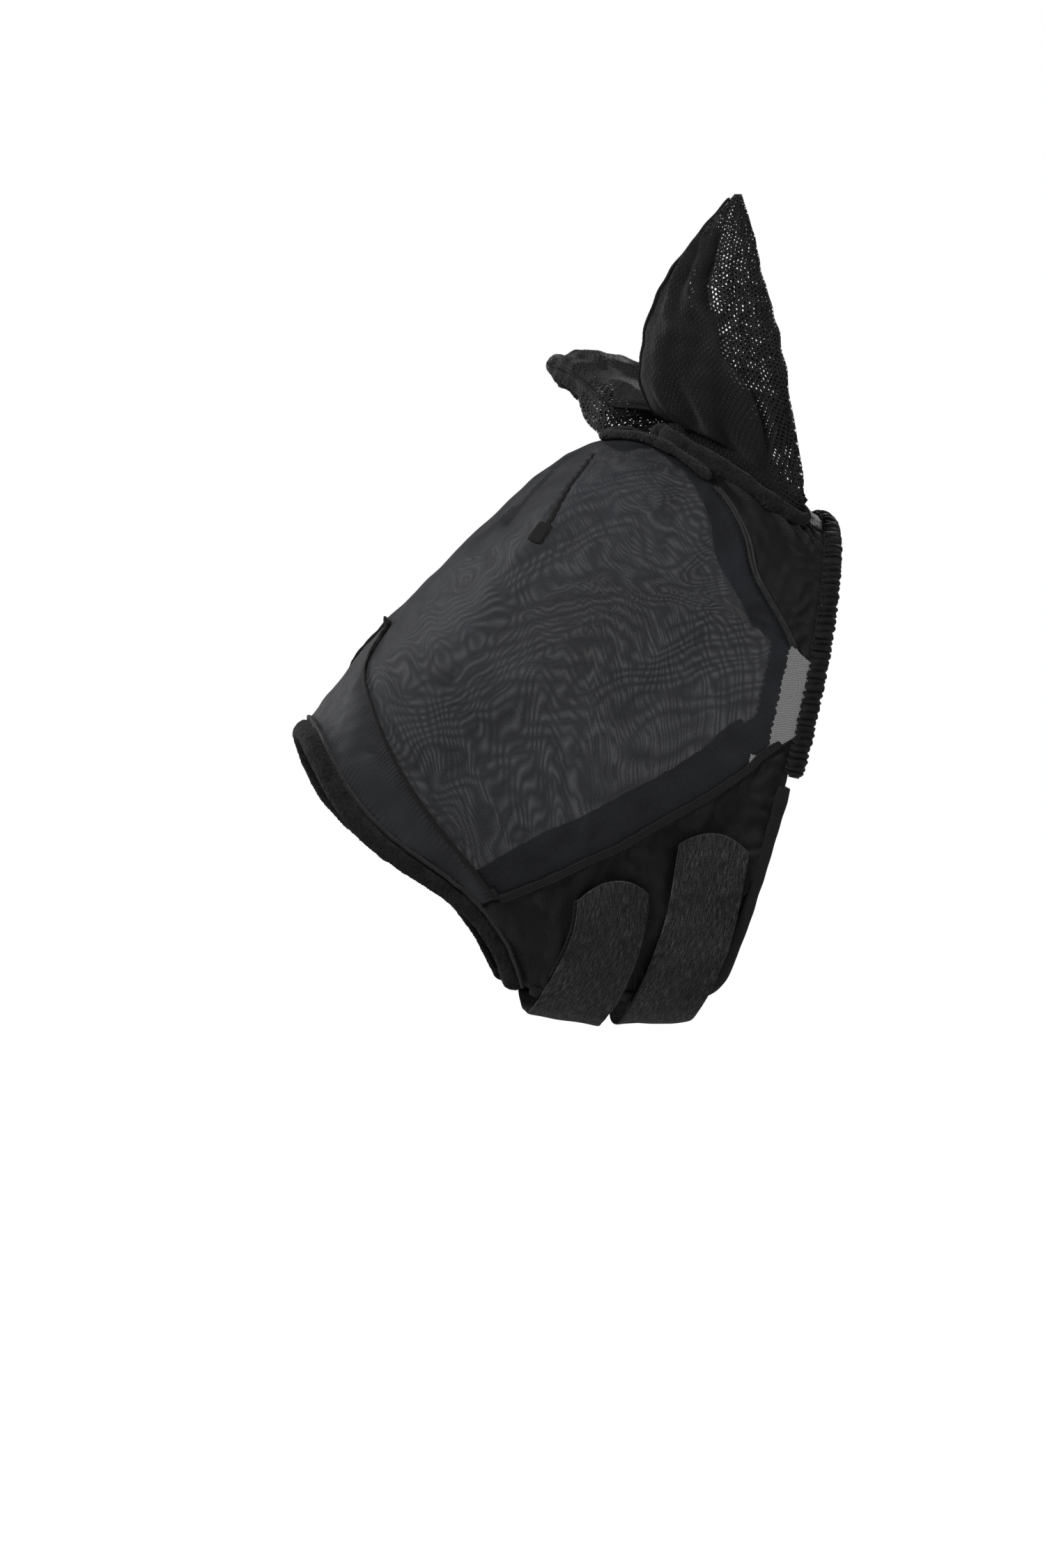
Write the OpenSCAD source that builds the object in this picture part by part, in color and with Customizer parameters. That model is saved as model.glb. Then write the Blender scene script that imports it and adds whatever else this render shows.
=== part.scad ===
// Fly mask for a horse, in the shape it takes when worn.
// The horse faces -X, its left (near) side is -Y and +Z is up. The origin is the poll seat:
// the point on the centreline, behind the ears, where the mask hangs on the head.
// Every panel lies on one head form, a surface of two parameters:
//   u runs from the nose edge (0) to the rear edge (1),
//   t runs round the head: forehead centreline (0), near side, middle of the throat (1),
//   off side, and back to the forehead at 2. A negative t is the off side too.

/* [Head fit] */
// Half-width of the mask over the eyes
eye_half_w = 110; // [104:1:116]
// Half-width at the nose edge
nose_half_w = 62; // [58:1:66]
// Half-width behind the ears
poll_half_w = 84; // [80:1:88]
// How far the darted mesh stands clear of the eye
eye_room = 9; // [4:1:12]

/* [Fabrics] */
// Thickness of the fine eye mesh
mesh_t = 0.8; // [0.6:0.1:1]
// Thickness of the smooth nose fabric
nose_t = 1.2; // [0.8:0.1:1.4]
// Thickness of the knitted jaw and crown fabric
knit_t = 1.0; // [0.8:0.1:1.2]
// Clear gap between one fabric layer and the next
layer_gap = 0.45; // [0.4:0.05:0.5]

/* [Edges] */
// Width of the rolled fleece along the nose edge
roll_w = 14; // [12:0.5:15]
// Width of the gathered elastic casing along the rear edge
casing_w = 12; // [11:0.5:13]
// Width of the smooth binding round the jaw panels
jaw_bind_w = 9; // [8:0.5:10]
// Diameter of the piping cord in the crown seam
piping_d = 4; // [3:0.5:4.5]
// Thickness of the rolled cuff round each ear
cuff_d = 10; // [9:0.5:11]

/* [Straps] */
// Width of the closing straps
strap_w = 50; // [45:1:52]
// Thickness of the strap webbing
strap_t = 1.6; // [1.4:0.1:2]
// Thickness of the hook and of the loop patches
patch_t = 1.2; // [1:0.1:1.3]

/* [Ears] */
// Height of the tip of an upright ear cover above the poll seat
ear_tip_z = 210; // [195:1:220]
// Angle that the off ear cover lies folded outwards from upright
off_ear_fold = 66; // [58:1:68]

/* [Hidden] */

// Head form, at seven equal steps of u from the nose edge to the rear edge
// Forehead and crown line, as X and Z
TOP = [[-327, -156], [-276, -92], [-222, -38], [-165, 14], [-110, 42], [-40, 26], [30, -16]];
// Line under the jaw, as X and Z
UNDER = [[-184, -336], [-166, -346], [-148, -350], [-128, -352], [-106, -353], [-80, -353], [-50, -349]];
// Half-width of each section
HALF = [nose_half_w, 86, eye_half_w - 4, eye_half_w, 102, 90, poll_half_w];
// How far each section bows towards the nose at its middle
BOW = [0, 0, -2, -5, -8, -9, -7];
// How far it sways towards the nose above its middle and back below it
SWAY = [12, 7, 3, 0, 0, -1, 0];
// Share by which each section narrows towards the jaw
TAPER = [0.30, 0.34, 0.38, 0.40, 0.42, 0.40, 0.36];

// Rear line of the eye mesh, as u at steps of 0.06 of t from the centreline
MESH_BACK = [0.64, 0.704, 0.762, 0.812, 0.845, 0.866, 0.94, 0.978, 0.982, 0.982];
back_step = 0.06;
// Lower edge of the jaw panels, as t
jaw_edge_t = 0.87;
// Radius of the rear corner of the jaw panels
jaw_corner = 20;
// Where the gathered rear edge ends and the smooth jaw binding begins, as t
casing_end_t = 0.5;

// Ear opening, an oval in u and t: its centre, its long half-axis to the rear and outwards, and
// its short half-axis
EAR_MID = [0.84, 0.078];
EAR_LONG = [0.104, 0.055];
EAR_SHORT = [-0.02, 0.036];

// Ear covers at equal steps from base to tip: centres of the sections, then their half-lengths
// and half-thicknesses. The off cover is crumpled, so it is shorter and its tip is blunt.
NEAR_EAR = [
    [[-50, -36, 34], [-54, -48, 82], [-56, -56, 126], [-52, -60, 170], [-40, -62, ear_tip_z]],
    [52, 50, 41, 25, 2.5],
    [22, 25, 21, 12, 1.5]
];
OFF_EAR = [
    [[-50, -36, 34], [-52, -46, 74], [-51, -52, 112], [-48, -54, 146], [-44, -55, 176]],
    [52, 48, 38, 28, 9],
    [22, 24, 22, 18, 7]
];
// Line that a near cover folds outwards about
EAR_FOLD = [0.8, -0.4, -0.45];
// Direction of the ear's length, seen from above
ear_yaw = 17;
ear_clear = 2;

// Centre lines of the straps, as u at equal steps of t from the tab's tip to the anchor's end
FRONT_LINE = [0.535, 0.51, 0.42, 0.33, 0.31, 0.32, 0.36, 0.42];
REAR_LINE = [0.84, 0.842, 0.82, 0.785, 0.77, 0.775, 0.80, 0.82];
strap_top_t = 0.60;
strap_end_t = 1.30;
fold_near_t = 0.89;
fold_off_t = 1.11;
fold_gap_t = 0.005;
tip_round = 12;

fine = 0.002;

// ---- Curves -------------------------------------------------------------------------------

function mix(a, b, f) = a + (b - a) * f;
function smooth(x) = let (c = min(max(x, 0), 1)) c * c * (3 - 2 * c);
function unit(v) = v / max(norm(v), 1e-9);

// Smooth curve through equally spaced points, with x from 0 to 1
function knot(p, k) =
    let (n = len(p) - 1)
    k < 0 ? 2 * p[0] - p[1] : k > n ? 2 * p[n] - p[n - 1] : p[k];
function curve(p, x) =
    let (
        n = len(p) - 1,
        s = min(max(x, 0), 1) * n,
        i = min(floor(s), n - 1),
        f = s - i,
        a = knot(p, i - 1),
        b = p[i],
        c = p[i + 1],
        d = knot(p, i + 2)
    )
    0.5 * (2 * b + (c - a) * f + (2 * a - 5 * b + 4 * c - d) * f * f + (3 * b - a - 3 * c + d) * f * f * f);

// ---- Head form ----------------------------------------------------------------------------

// A point of the form. Each section is a rounded oval, hung between the top and under lines.
function form(u, t) =
    t < 0 ? let (p = form(u, -t)) [p[0], -p[1], p[2]] :
    t > 1 ? let (p = form(u, 2 - t)) [p[0], -p[1], p[2]] :
    let (
        a = curve(TOP, u),
        d = curve(UNDER, u) - a,
        e = d / norm(d),
        c = cos(180 * t),
        s = (1 - sign(c) * pow(abs(c), 0.85)) / 2,
        y = curve(HALF, u) * pow(max(sin(180 * t), 0), 0.72) * (1 - curve(TAPER, u) * pow(s, 1.6)),
        q = curve(BOW, u) * 4 * s * (1 - s) + curve(SWAY, u) * sin(360 * s)
    )
    [a[0] + d[0] * s + e[1] * q, -y, a[1] + d[1] * s - e[0] * q];

function along_u(u, t) =
    let (lo = max(u - fine, 0), hi = min(u + fine, 1))
    (form(hi, t) - form(lo, t)) / (hi - lo);
function along_t(u, t) = (form(u, t + fine) - form(u, t - fine)) / (2 * fine);
function outward(u, t) = unit(cross(along_t(u, t), along_u(u, t)));

// A point raised by h millimetres from the form
function skin(u, t, h) = form(u, t) + outward(u, t) * h;
// u or t moved by a number of millimetres along the surface
function step_u(u, t, mm) = u + mm / norm(along_u(u, t));
function step_t(u, t, mm) = t + mm / norm(along_t(u, t));

// The dome that the darts give the mesh over each eye
function dome(u, t) = eye_room * exp(-pow((u - 0.37) / 0.15, 2) - pow((abs(t) - 0.27) / 0.12, 2));

// ---- Seam lines on the form ------------------------------------------------------------------

function nose_back(t) = 0.11 + 0.085 * exp(-abs(t) / 0.045);
function mesh_back(t) = curve(MESH_BACK, abs(t) / back_step / (len(MESH_BACK) - 1));
function jaw_line(u) = 0.595 - 0.57 * pow(max(u - 0.5, 0), 2);
// Edge of the ear opening at angle a (0 rear, 90 outer side), moved out by grow in u and t
function ear_oval(a, grow) = [
    EAR_MID[0] + (EAR_LONG[0] + grow) * cos(a) + EAR_SHORT[0] * sin(a),
    EAR_MID[1] + EAR_LONG[1] * cos(a) + (EAR_SHORT[1] + grow) * sin(a)
];
function ear_angle(p) =
    let (d = p - EAR_MID)
    atan2(EAR_LONG[0] * d[1] - EAR_LONG[1] * d[0], EAR_SHORT[1] * d[0] - EAR_SHORT[0] * d[1]);

// ---- Solids ----------------------------------------------------------------------------------

// A closed shell between two grids of points with the same rows and columns. loop joins the
// last column to the first. flip turns the faces when the first grid is the inner one. tip
// closes the far end of both grids, which makes a pocket of a loop.
module shell(over, under, loop = false, flip = false, tip = false) {
    rows = len(over);
    cols = len(over[0]);
    n = rows * cols;
    wide = loop ? cols : cols - 1;
    points = concat([for (r = over) each r], [for (r = under) each r]);
    function at(r, c) = r * cols + c % cols;
    quads = concat(
        [for (r = [0:rows - 2], c = [0:wide - 1]) [at(r, c), at(r, c + 1), at(r + 1, c + 1), at(r + 1, c)]],
        [for (r = [0:rows - 2], c = [0:wide - 1])
            [n + at(r, c), n + at(r + 1, c), n + at(r + 1, c + 1), n + at(r, c + 1)]],
        [for (c = [0:wide - 1]) [at(0, c), n + at(0, c), n + at(0, c + 1), at(0, c + 1)]],
        tip ? [] : [for (c = [0:wide - 1])
            [at(rows - 1, c), at(rows - 1, c + 1), n + at(rows - 1, c + 1), n + at(rows - 1, c)]],
        loop ? [] : [for (r = [0:rows - 2]) [at(r, 0), at(r + 1, 0), n + at(r + 1, 0), n + at(r, 0)]],
        loop ? [] : [for (r = [0:rows - 2])
            [at(r, cols - 1), n + at(r, cols - 1), n + at(r + 1, cols - 1), at(r + 1, cols - 1)]]
    );
    top = (rows - 1) * cols;
    fans = tip ? [for (c = [1:cols - 2]) each [
        [top, top + c, top + c + 1],
        [n + top, n + top + c + 1, n + top + c]
    ]] : [];
    faces = concat([for (q = quads) each [[q[0], q[1], q[2]], [q[0], q[2], q[3]]]], fans);
    polyhedron(points, flip ? [for (f = faces) [f[2], f[1], f[0]]] : faces, convexity = 12);
}

// A solid swept through rings of points. ends closes an open sweep; loop joins it into a ring.
module sweep(rings, loop = false) {
    rows = len(rings);
    cols = len(rings[0]);
    long = loop ? rows : rows - 1;
    points = [for (r = rings) each r];
    function at(r, c) = (r % rows) * cols + c % cols;
    sides = [for (r = [0:long - 1], c = [0:cols - 1]) each [
        [at(r, c), at(r + 1, c), at(r + 1, c + 1)],
        [at(r, c), at(r + 1, c + 1), at(r, c + 1)]
    ]];
    caps = loop ? [] : concat(
        [for (c = [1:cols - 2]) [at(0, 0), at(0, c), at(0, c + 1)]],
        [for (c = [1:cols - 2]) [at(rows - 1, 0), at(rows - 1, c + 1), at(rows - 1, c)]]
    );
    polyhedron(points, concat(sides, caps), convexity = 12);
}

// Fabric between two heights over the form, on a grid of [u, t] places
function lifted(places, h, domed = false) = [for (row = places) [for (p = row)
    skin(p[0], p[1], h + (domed ? dome(p[0], p[1]) : 0))]];
module fabric(places, low, high, domed = false) {
    shell(lifted(places, high, domed), lifted(places, low, domed));
}

// Oval rings, of half-width a along the surface and half-height b off it, round a line of
// [u, t] places at height h. back is the inner size for a hollow sleeve.
function place_dir(line, i, loop) =
    let (n = len(line), j = loop ? (i + 1) % n : min(i + 1, n - 1), k = loop ? (i + n - 1) % n : max(i - 1, 0))
    unit(form(line[j][0], line[j][1]) - form(line[k][0], line[k][1]));
function oval_rings(line, a, b, h, sides, loop = false) = [for (i = [0:len(line) - 1])
    let (
        p = line[i],
        up = outward(p[0], p[1]),
        across = unit(cross(up, place_dir(line, i, loop))),
        mid = form(p[0], p[1]) + up * h
    )
    [for (k = [0:sides - 1]) mid + across * a * cos(360 * k / sides) + up * b * sin(360 * k / sides)]
];
module cord(line, a, b, h, sides = 8, loop = false) {
    sweep(oval_rings(line, a, b, h, sides, loop), loop);
}

// A flat tape of half-width w between heights low and high along a line of places
module tape(line, w, low, high) {
    sweep([for (i = [0:len(line) - 1])
        let (
            p = line[i],
            up = outward(p[0], p[1]),
            across = unit(cross(up, place_dir(line, i, false))) * w,
            base = form(p[0], p[1]) + up * (len(p) > 2 ? p[2] : 0)
        )
        [base + across + up * low, base + across + up * high, base - across + up * high,
         base - across + up * low]
    ]);
}
module off_side() {
    mirror([0, 1, 0]) children();
}

// ---- Panels -----------------------------------------------------------------------------------

mesh_rows = 22;
mesh_cols = 16;

// Signed t across the whole head, closer together by the centreline
function round_t(x, edge) = sign(x) * pow(abs(x), 1.35) * edge;
// Places of the eye mesh: x from -1 (off) to 1 (near), a from the nose seam to the rear seam.
// Each pass brings the place nearer to the curved jaw seam.
function mesh_place(x, a, u = 0.5, pass = 3) =
    let (
        t = round_t(x, jaw_line(u) - 0.004),
        v = mix(step_u(nose_back(t), t, 0.3), step_u(mesh_back(t), t, -0.3), a)
    )
    pass == 0 ? [v, t] : mesh_place(x, a, v, pass - 1);
module eye_mesh() {
    places = [for (i = [-mesh_rows:mesh_rows]) [for (j = [0:mesh_cols]) mesh_place(i / mesh_rows, j / mesh_cols)]];
    color("black") fabric(places, 0, mesh_t, true);
}

// Stitched dart that folds the mesh in from the brow towards the eye
dart_line = [for (i = [0:8]) [mix(0.595, 0.478, i / 8), mix(0.045, 0.172, i / 8)]];
module forehead_dart_near() {
    rise = mesh_t + layer_gap;
    line = [for (p = dart_line) [p[0], p[1], dome(p[0], p[1])]];
    color("black") tape(line, 2.5, rise, rise + 1);
}
module forehead_dart_off() {
    off_side() forehead_dart_near();
}

module nose_panel() {
    rows = 24;
    cols = 5;
    places = [for (i = [-rows:rows]) let (t = round_t(i / rows, 0.591))
        [for (j = [0:cols]) [mix(step_u(0, t, roll_w / 2 + 0.6), step_u(nose_back(t), t, -0.3), j / cols), t]]];
    color("#202124") fabric(places, 0, nose_t);
}

// Folded edge along the back of the nose panel
module nose_panel_tape() {
    rise = nose_t + layer_gap;
    line = [for (i = [-22:22]) let (t = round_t(i / 22, 0.585)) [nose_back(t), t]];
    color("black") tape(line, 1.6, rise, rise + 1.2);
}

// Rolled fleece round the nose edge, from one jaw corner over the nose to the other
module nose_binding() {
    line = [for (i = [-26:26]) [0, round_t(i / 26, jaw_edge_t + 0.01)]];
    color("#101012") cord(line, roll_w / 2, roll_w * 0.36, 1, 10);
}

module nose_piping() {
    rise = nose_t + layer_gap + 1.4;
    line = [for (i = [-26:26]) let (t = round_t(i / 26, jaw_edge_t - 0.03))
        [step_u(0, t, roll_w / 2 + 2.6), t]];
    color("black") cord(line, 1.4, 1.4, rise, 6);
}

// Fleece band between the mesh and the ear openings
module brow_band() {
    line = [for (i = [-14:14]) let (t = i / 14 * 0.15) [mesh_back(t), t]];
    color("#101012") cord(line, 4, 3, mesh_t + layer_gap + 3, 8);
}

// How far the rounded rear corner of the jaw panel is cut in, mm millimetres above its lower edge
function corner_in(mm, r) = mm > r ? 0 : r - sqrt(max(r * r - (r - mm) * (r - mm), 0));
// Free edge of the jaw panel, moved in by a number of millimetres
function edge_low(u, in) = step_t(u, jaw_edge_t, -in);
function edge_rear(t, in) =
    step_u(1, t, -in - corner_in((jaw_edge_t - t) * norm(along_t(0.95, 0.85)) - in, jaw_corner - in));

// Knitted panel below the eye mesh, down to the open edge under the jaw
module jaw_panel_near() {
    rows = 13;
    cols = 16;
    in = jaw_bind_w + 0.4;
    function along(t, a) = mix(step_u(0, t, roll_w / 2 + 0.6), edge_rear(t, in), a);
    function place(a, b, u = 0.5, pass = 3) =
        let (t = mix(jaw_line(u) + 0.004, edge_low(u, in), 1 - pow(1 - b, 1.3)))
        pass == 0 ? [u, t] : place(a, b, along(t, a), pass - 1);
    places = [for (i = [0:rows]) [for (j = [0:cols]) place(j / cols, i / rows)]];
    color("#0c0c0d") fabric(places, 0, knit_t);
}
module jaw_panel_off() {
    off_side() jaw_panel_near();
}

// Flat stitched seam between the mesh and the jaw panel
module jaw_seam_near() {
    rise = knit_t + layer_gap;
    line = [for (i = [0:20]) let (u = mix(0.125, 0.955, i / 20)) [u, jaw_line(u)]];
    color("#151517") tape(line, 3, rise, rise + 1);
}
module jaw_seam_off() {
    off_side() jaw_seam_near();
}

// Crown panel of one side, a ring of fabric round the ear opening
crown_front = [for (i = [0:15]) let (t = i / 15 * 0.352 + 0.006) [step_u(mesh_back(t), t, 2.4), t]];
crown_low = [[0.962, 0.368]];
crown_rear = [for (i = [0:8]) let (t = mix(0.372, 0.006, i / 8)) [step_u(1, t, -casing_w / 2 - 0.6), t]];
crown_mid = [for (i = [1:6]) [mix(0.955, 0.665, i / 6.5), 0.006]];
crown_loop = concat(crown_front, crown_low, crown_rear, crown_mid);
module crown_panel_near() {
    cuff_room = 0.021;
    function inner(p) = let (q = ear_oval(ear_angle(p), cuff_room)) [q[0], max(q[1], 0.006)];
    places = [for (k = [0:4]) [for (p = crown_loop) mix(inner(p), p, k / 4)]];
    color("#0c0c0d") shell(lifted(places, knit_t), lifted(places, 0), true);
}
module crown_panel_off() {
    off_side() crown_panel_near();
}

// Seam that joins the two crown panels over the poll
module poll_seam() {
    rise = knit_t + layer_gap;
    line = [for (i = [0:10]) [mix(0.675, 0.972, i / 10), 0]];
    color("#151517") tape(line, 3, rise, rise + 1);
}

// Piping cord between the mesh and the crown panel
module crown_piping_near() {
    line = [for (i = [0:16]) let (t = mix(0.175, 0.366, i / 16)) [step_u(mesh_back(t), t, 1), t]];
    r = piping_d / 2;
    color("black") cord(line, r, r, knit_t + layer_gap + r);
}
module crown_piping_off() {
    off_side() crown_piping_near();
}

// Rolled cuff that the ear comes through
module ear_cuff_near() {
    line = [for (i = [0:31]) ear_oval(-i * 360 / 32, 0)];
    color("#101012") cord(line, cuff_d / 2, cuff_d * 0.7, knit_t + 4, 10, true);
}
module ear_cuff_off() {
    off_side() ear_cuff_near();
}

// Gathered casing along the rear edge, from one cheek over the poll to the other, and its elastic
casing_line = [for (i = [-22:22]) [1, round_t(i / 22, casing_end_t)]];
module rear_casing() {
    wall = 1;
    outer = oval_rings(casing_line, casing_w / 2, casing_w * 0.42, 1, 10);
    inner = oval_rings(casing_line, casing_w / 2 - wall, casing_w * 0.42 - wall, 1, 10);
    color("#0c0c0d") shell(outer, inner, true, true);
}
module rear_elastic() {
    color("#e8e6e0") tape(casing_line, casing_w / 2 - 2.2, 0.5, 1.5);
}

// Smooth binding down the rear of the jaw panel, round its corner and along its lower edge
module jaw_binding_near() {
    in = jaw_bind_w / 2;
    low = edge_low(0.9, in);
    turn = (jaw_corner - in) / norm(along_t(0.95, 0.85));
    down = [for (i = [0:9]) let (t = mix(casing_end_t + 0.008, low - turn, i / 10)) [edge_rear(t, in), t]];
    round = [for (i = [0:4]) let (t = low - turn * (1 - sin(i * 20))) [edge_rear(t, in), t]];
    below = [for (i = [0:14])
        let (u = mix(edge_rear(low, in), step_u(0, jaw_edge_t, roll_w / 2 + 6), i / 14)) [u, edge_low(u, in)]];
    color("#101012") cord(concat(down, round, below), in, 2.2, 0.8, 8);
}
module jaw_binding_off() {
    off_side() jaw_binding_near();
}

// ---- Straps ------------------------------------------------------------------------------------

// Centre line of a strap, and the place x millimetres to the rear of it
function strap_u(line, t) = curve(line, (t - strap_top_t) / (strap_end_t - strap_top_t));
function strap_dir(line, t) =
    unit(form(strap_u(line, t + fine), t + fine) - form(strap_u(line, t - fine), t - fine));
function strap_place(line, t, x) =
    let (
        u = strap_u(line, t),
        pu = along_u(u, t),
        pt = along_t(u, t),
        up = outward(u, t),
        side = cross(strap_dir(line, t), up),
        across = unit(side * (side * pu < 0 ? -1 : 1)) * x
    )
    [u + across * cross(pt, up) / (pu * cross(pt, up)), t + across * cross(up, pu) / (pt * cross(up, pu))];
function strap_skin(line, t, x, h) = let (p = strap_place(line, t, x)) skin(p[0], p[1], h);
// Where the free end of each strap lies: the rear one reaches higher up the cheek
function tip_t(line) = strap_top_t + (line == FRONT_LINE ? 0.03 : -0.024);
// Straight fold line across a strap at t, as a direction towards the rear
function fold_dir(line, t) =
    let (half = strap_w / 2) unit(strap_skin(line, t, half, 0) - strap_skin(line, t, -half, 0));
// The webbing lies on the cheek near its ends, and is flat across its width at the two folds
// and under the jaw
function web_point(line, t, x, h) =
    let (
        u = strap_u(line, t),
        way = fold_dir(line, t),
        tilt = outward(u, t),
        up = unit(tilt - way * (tilt * way)),
        flat = form(u, t) + way * x + up * h,
        share = smooth((t - 0.83) / 0.05) * smooth((1.17 - t) / 0.05)
    )
    mix(strap_skin(line, t, x, h), flat, share);
// Webbing between two values of t, w wide. round pulls the corners of the first end back.
// sink lowers the far end on to the panel that it is sewn to.
module webbing(line, from, to, w, low, high, rows, round = 0, sink = 0) {
    cols = 6;
    function start(x) = from + round * pow(2 * x / w, 2) / norm(along_t(strap_u(line, from), from));
    function drop(t) = sink * smooth((t - 1.155) / 0.05);
    function layer(h) = [for (i = [0:rows]) [for (j = [0:cols])
        let (x = w * (j / cols - 0.5), t = mix(start(x), to, i / rows))
        web_point(line, t, x, h - drop(t))]];
    shell(layer(high), layer(low));
}

loop_low = knit_t + layer_gap;
hook_low = loop_low + patch_t + layer_gap;
web_low = hook_low + patch_t + layer_gap;
web_high = web_low + strap_t;

module strap_tab(line) {
    color("#26262a") webbing(line, tip_t(line), fold_near_t - fold_gap_t, strap_w, web_low, web_high, 18, tip_round);
}
module strap_bridge(line) {
    color("#26262a")
        webbing(line, fold_near_t + fold_gap_t, fold_off_t - fold_gap_t, strap_w, web_low, web_high, 10);
}
module strap_anchor(line) {
    color("#26262a")
        webbing(line, fold_off_t + fold_gap_t, strap_end_t, strap_w, web_low, web_high, 9, 0, web_low - loop_low);
}
module hook_patch(line) {
    color("#1a1a1c") webbing(line, tip_t(line) + 0.03, 0.795, strap_w - 4, hook_low, hook_low + patch_t, 14, tip_round);
}
module loop_patch(line, w) {
    color("#141416") webbing(line, tip_t(line) + 0.02, 0.806, w, loop_low, loop_low + patch_t, 15);
}
module front_loop_patch() {
    loop_patch(FRONT_LINE, strap_w + 4);
}
module rear_loop_patch() {
    loop_patch(REAR_LINE, strap_w - 3);
}
module front_strap_anchor() {
    strap_anchor(FRONT_LINE);
}
module rear_strap_anchor() {
    strap_anchor(REAR_LINE);
}
module front_strap_bridge() {
    strap_bridge(FRONT_LINE);
}
module front_strap_tab() {
    strap_tab(FRONT_LINE);
}
module front_hook_patch() {
    hook_patch(FRONT_LINE);
}
module rear_strap_bridge() {
    strap_bridge(REAR_LINE);
}
module rear_strap_tab() {
    strap_tab(REAR_LINE);
}
module rear_hook_patch() {
    hook_patch(REAR_LINE);
}

// ---- Ear covers ----------------------------------------------------------------------------------

// Lower rim of a cover, just above the cuff. a goes round it (0 rear, 90 outer side).
function ear_rim(a, out) =
    let (p = ear_oval(a, -0.016 + out / 430))
    skin(p[0], p[1], knit_t + 4 + cuff_d * 0.7 + 6);
// A point of an upright near cover. cover holds the spine and the half-lengths and
// half-thicknesses along it; h runs from base to tip, and out moves the point off the surface.
function ear_point(cover, a, h, out = 0) =
    let (
        long = curve(cover[1], h) + out,
        deep = curve(cover[2], h) + out,
        way = [cos(ear_yaw), -sin(ear_yaw), 0],
        side = [-sin(ear_yaw), -cos(ear_yaw), 0],
        free = curve(cover[0], h) + way * long * cos(a) + side * deep * sin(a)
    )
    mix(ear_rim(a, out), free, smooth(h / 0.3));
ear_sides = 24;
ear_rings = 13;
module ear_cover(cover) {
    function grid(out, top) = [for (i = [0:ear_rings])
        [for (k = [0:ear_sides - 1]) ear_point(cover, 360 * k / ear_sides, top * i / ear_rings, out)]];
    color("#0c0c0d") shell(grid(0, 1), grid(-1, 0.992), true, tip = true);
}
// Overlocked seam up the front edge of a cover
module ear_seam(cover) {
    r = 1.2;
    steps = ear_rings - 2;
    line = [for (i = [0:steps]) ear_point(cover, 180, (i + 1) / ear_rings, r + 2.1)];
    color("black") sweep([for (i = [0:steps])
        let (
            ahead = unit(line[min(i + 1, steps)] - line[max(i - 1, 0)]),
            side = unit(cross(ahead, [0, 1, 0])),
            other = cross(ahead, side)
        )
        [for (k = [0:5]) line[i] + r * (side * cos(60 * k) + other * sin(60 * k))]
    ]);
}
// A cover folds outwards about a line along the outer side of its base
ear_fold_at = ear_rim(90, 0) + [0, -ear_clear, -1];
module folded_off(a) {
    off_side() translate(ear_fold_at) rotate(a, EAR_FOLD) translate(-ear_fold_at) children();
}
module ear_cover_near() {
    ear_cover(NEAR_EAR);
}
module ear_seam_near() {
    ear_seam(NEAR_EAR);
}
module ear_cover_off() {
    folded_off(off_ear_fold) ear_cover(OFF_EAR);
}
module ear_seam_off() {
    folded_off(off_ear_fold) ear_seam(OFF_EAR);
}

eye_mesh();
forehead_dart_near();
forehead_dart_off();
nose_panel();
nose_panel_tape();
nose_binding();
nose_piping();
brow_band();
jaw_panel_near();
jaw_panel_off();
jaw_seam_near();
jaw_seam_off();
crown_panel_near();
crown_panel_off();
poll_seam();
crown_piping_near();
crown_piping_off();
ear_cuff_near();
ear_cuff_off();
rear_casing();
rear_elastic();
jaw_binding_near();
jaw_binding_off();
front_loop_patch();
rear_loop_patch();
front_strap_anchor();
rear_strap_anchor();
front_strap_bridge();
front_strap_tab();
front_hook_patch();
rear_strap_bridge();
rear_strap_tab();
rear_hook_patch();
ear_cover_near();
ear_seam_near();
ear_cover_off();
ear_seam_off();
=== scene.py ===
import math

import bpy
import numpy as np
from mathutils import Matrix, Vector


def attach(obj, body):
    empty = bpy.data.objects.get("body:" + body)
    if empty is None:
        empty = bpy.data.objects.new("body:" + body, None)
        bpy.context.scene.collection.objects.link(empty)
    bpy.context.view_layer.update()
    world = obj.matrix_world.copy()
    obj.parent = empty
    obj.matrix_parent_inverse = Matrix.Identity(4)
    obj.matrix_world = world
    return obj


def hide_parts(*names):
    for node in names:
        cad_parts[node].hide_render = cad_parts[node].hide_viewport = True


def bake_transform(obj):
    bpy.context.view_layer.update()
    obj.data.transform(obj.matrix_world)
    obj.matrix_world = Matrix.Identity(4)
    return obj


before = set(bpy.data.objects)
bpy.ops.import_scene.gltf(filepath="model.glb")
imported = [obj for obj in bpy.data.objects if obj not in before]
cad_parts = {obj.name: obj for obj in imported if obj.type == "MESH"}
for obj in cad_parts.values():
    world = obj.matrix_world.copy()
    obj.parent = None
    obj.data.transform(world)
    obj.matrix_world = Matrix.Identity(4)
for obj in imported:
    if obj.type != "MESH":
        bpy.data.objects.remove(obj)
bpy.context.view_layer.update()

bl_info = {
    "name": "Horse fly mask",
    "version": (1, 0, 0),
    "blender": (4, 5, 0),
    "location": "3D View > Sidebar > Fly mask",
    "description": "Builds the cloth, fleece, piping, straps and ear covers of a horse fly mask on its frame",
    "category": "Object",
}

MM = 0.001

# ---- Head form, the same surface as the frame's, in millimetres ---------------------------------
# u runs from the nose edge (0) to the rear edge (1). t runs round the head: 0 on the forehead
# centreline, 1 under the jaw, positive on the near side and negative on the off side.

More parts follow.
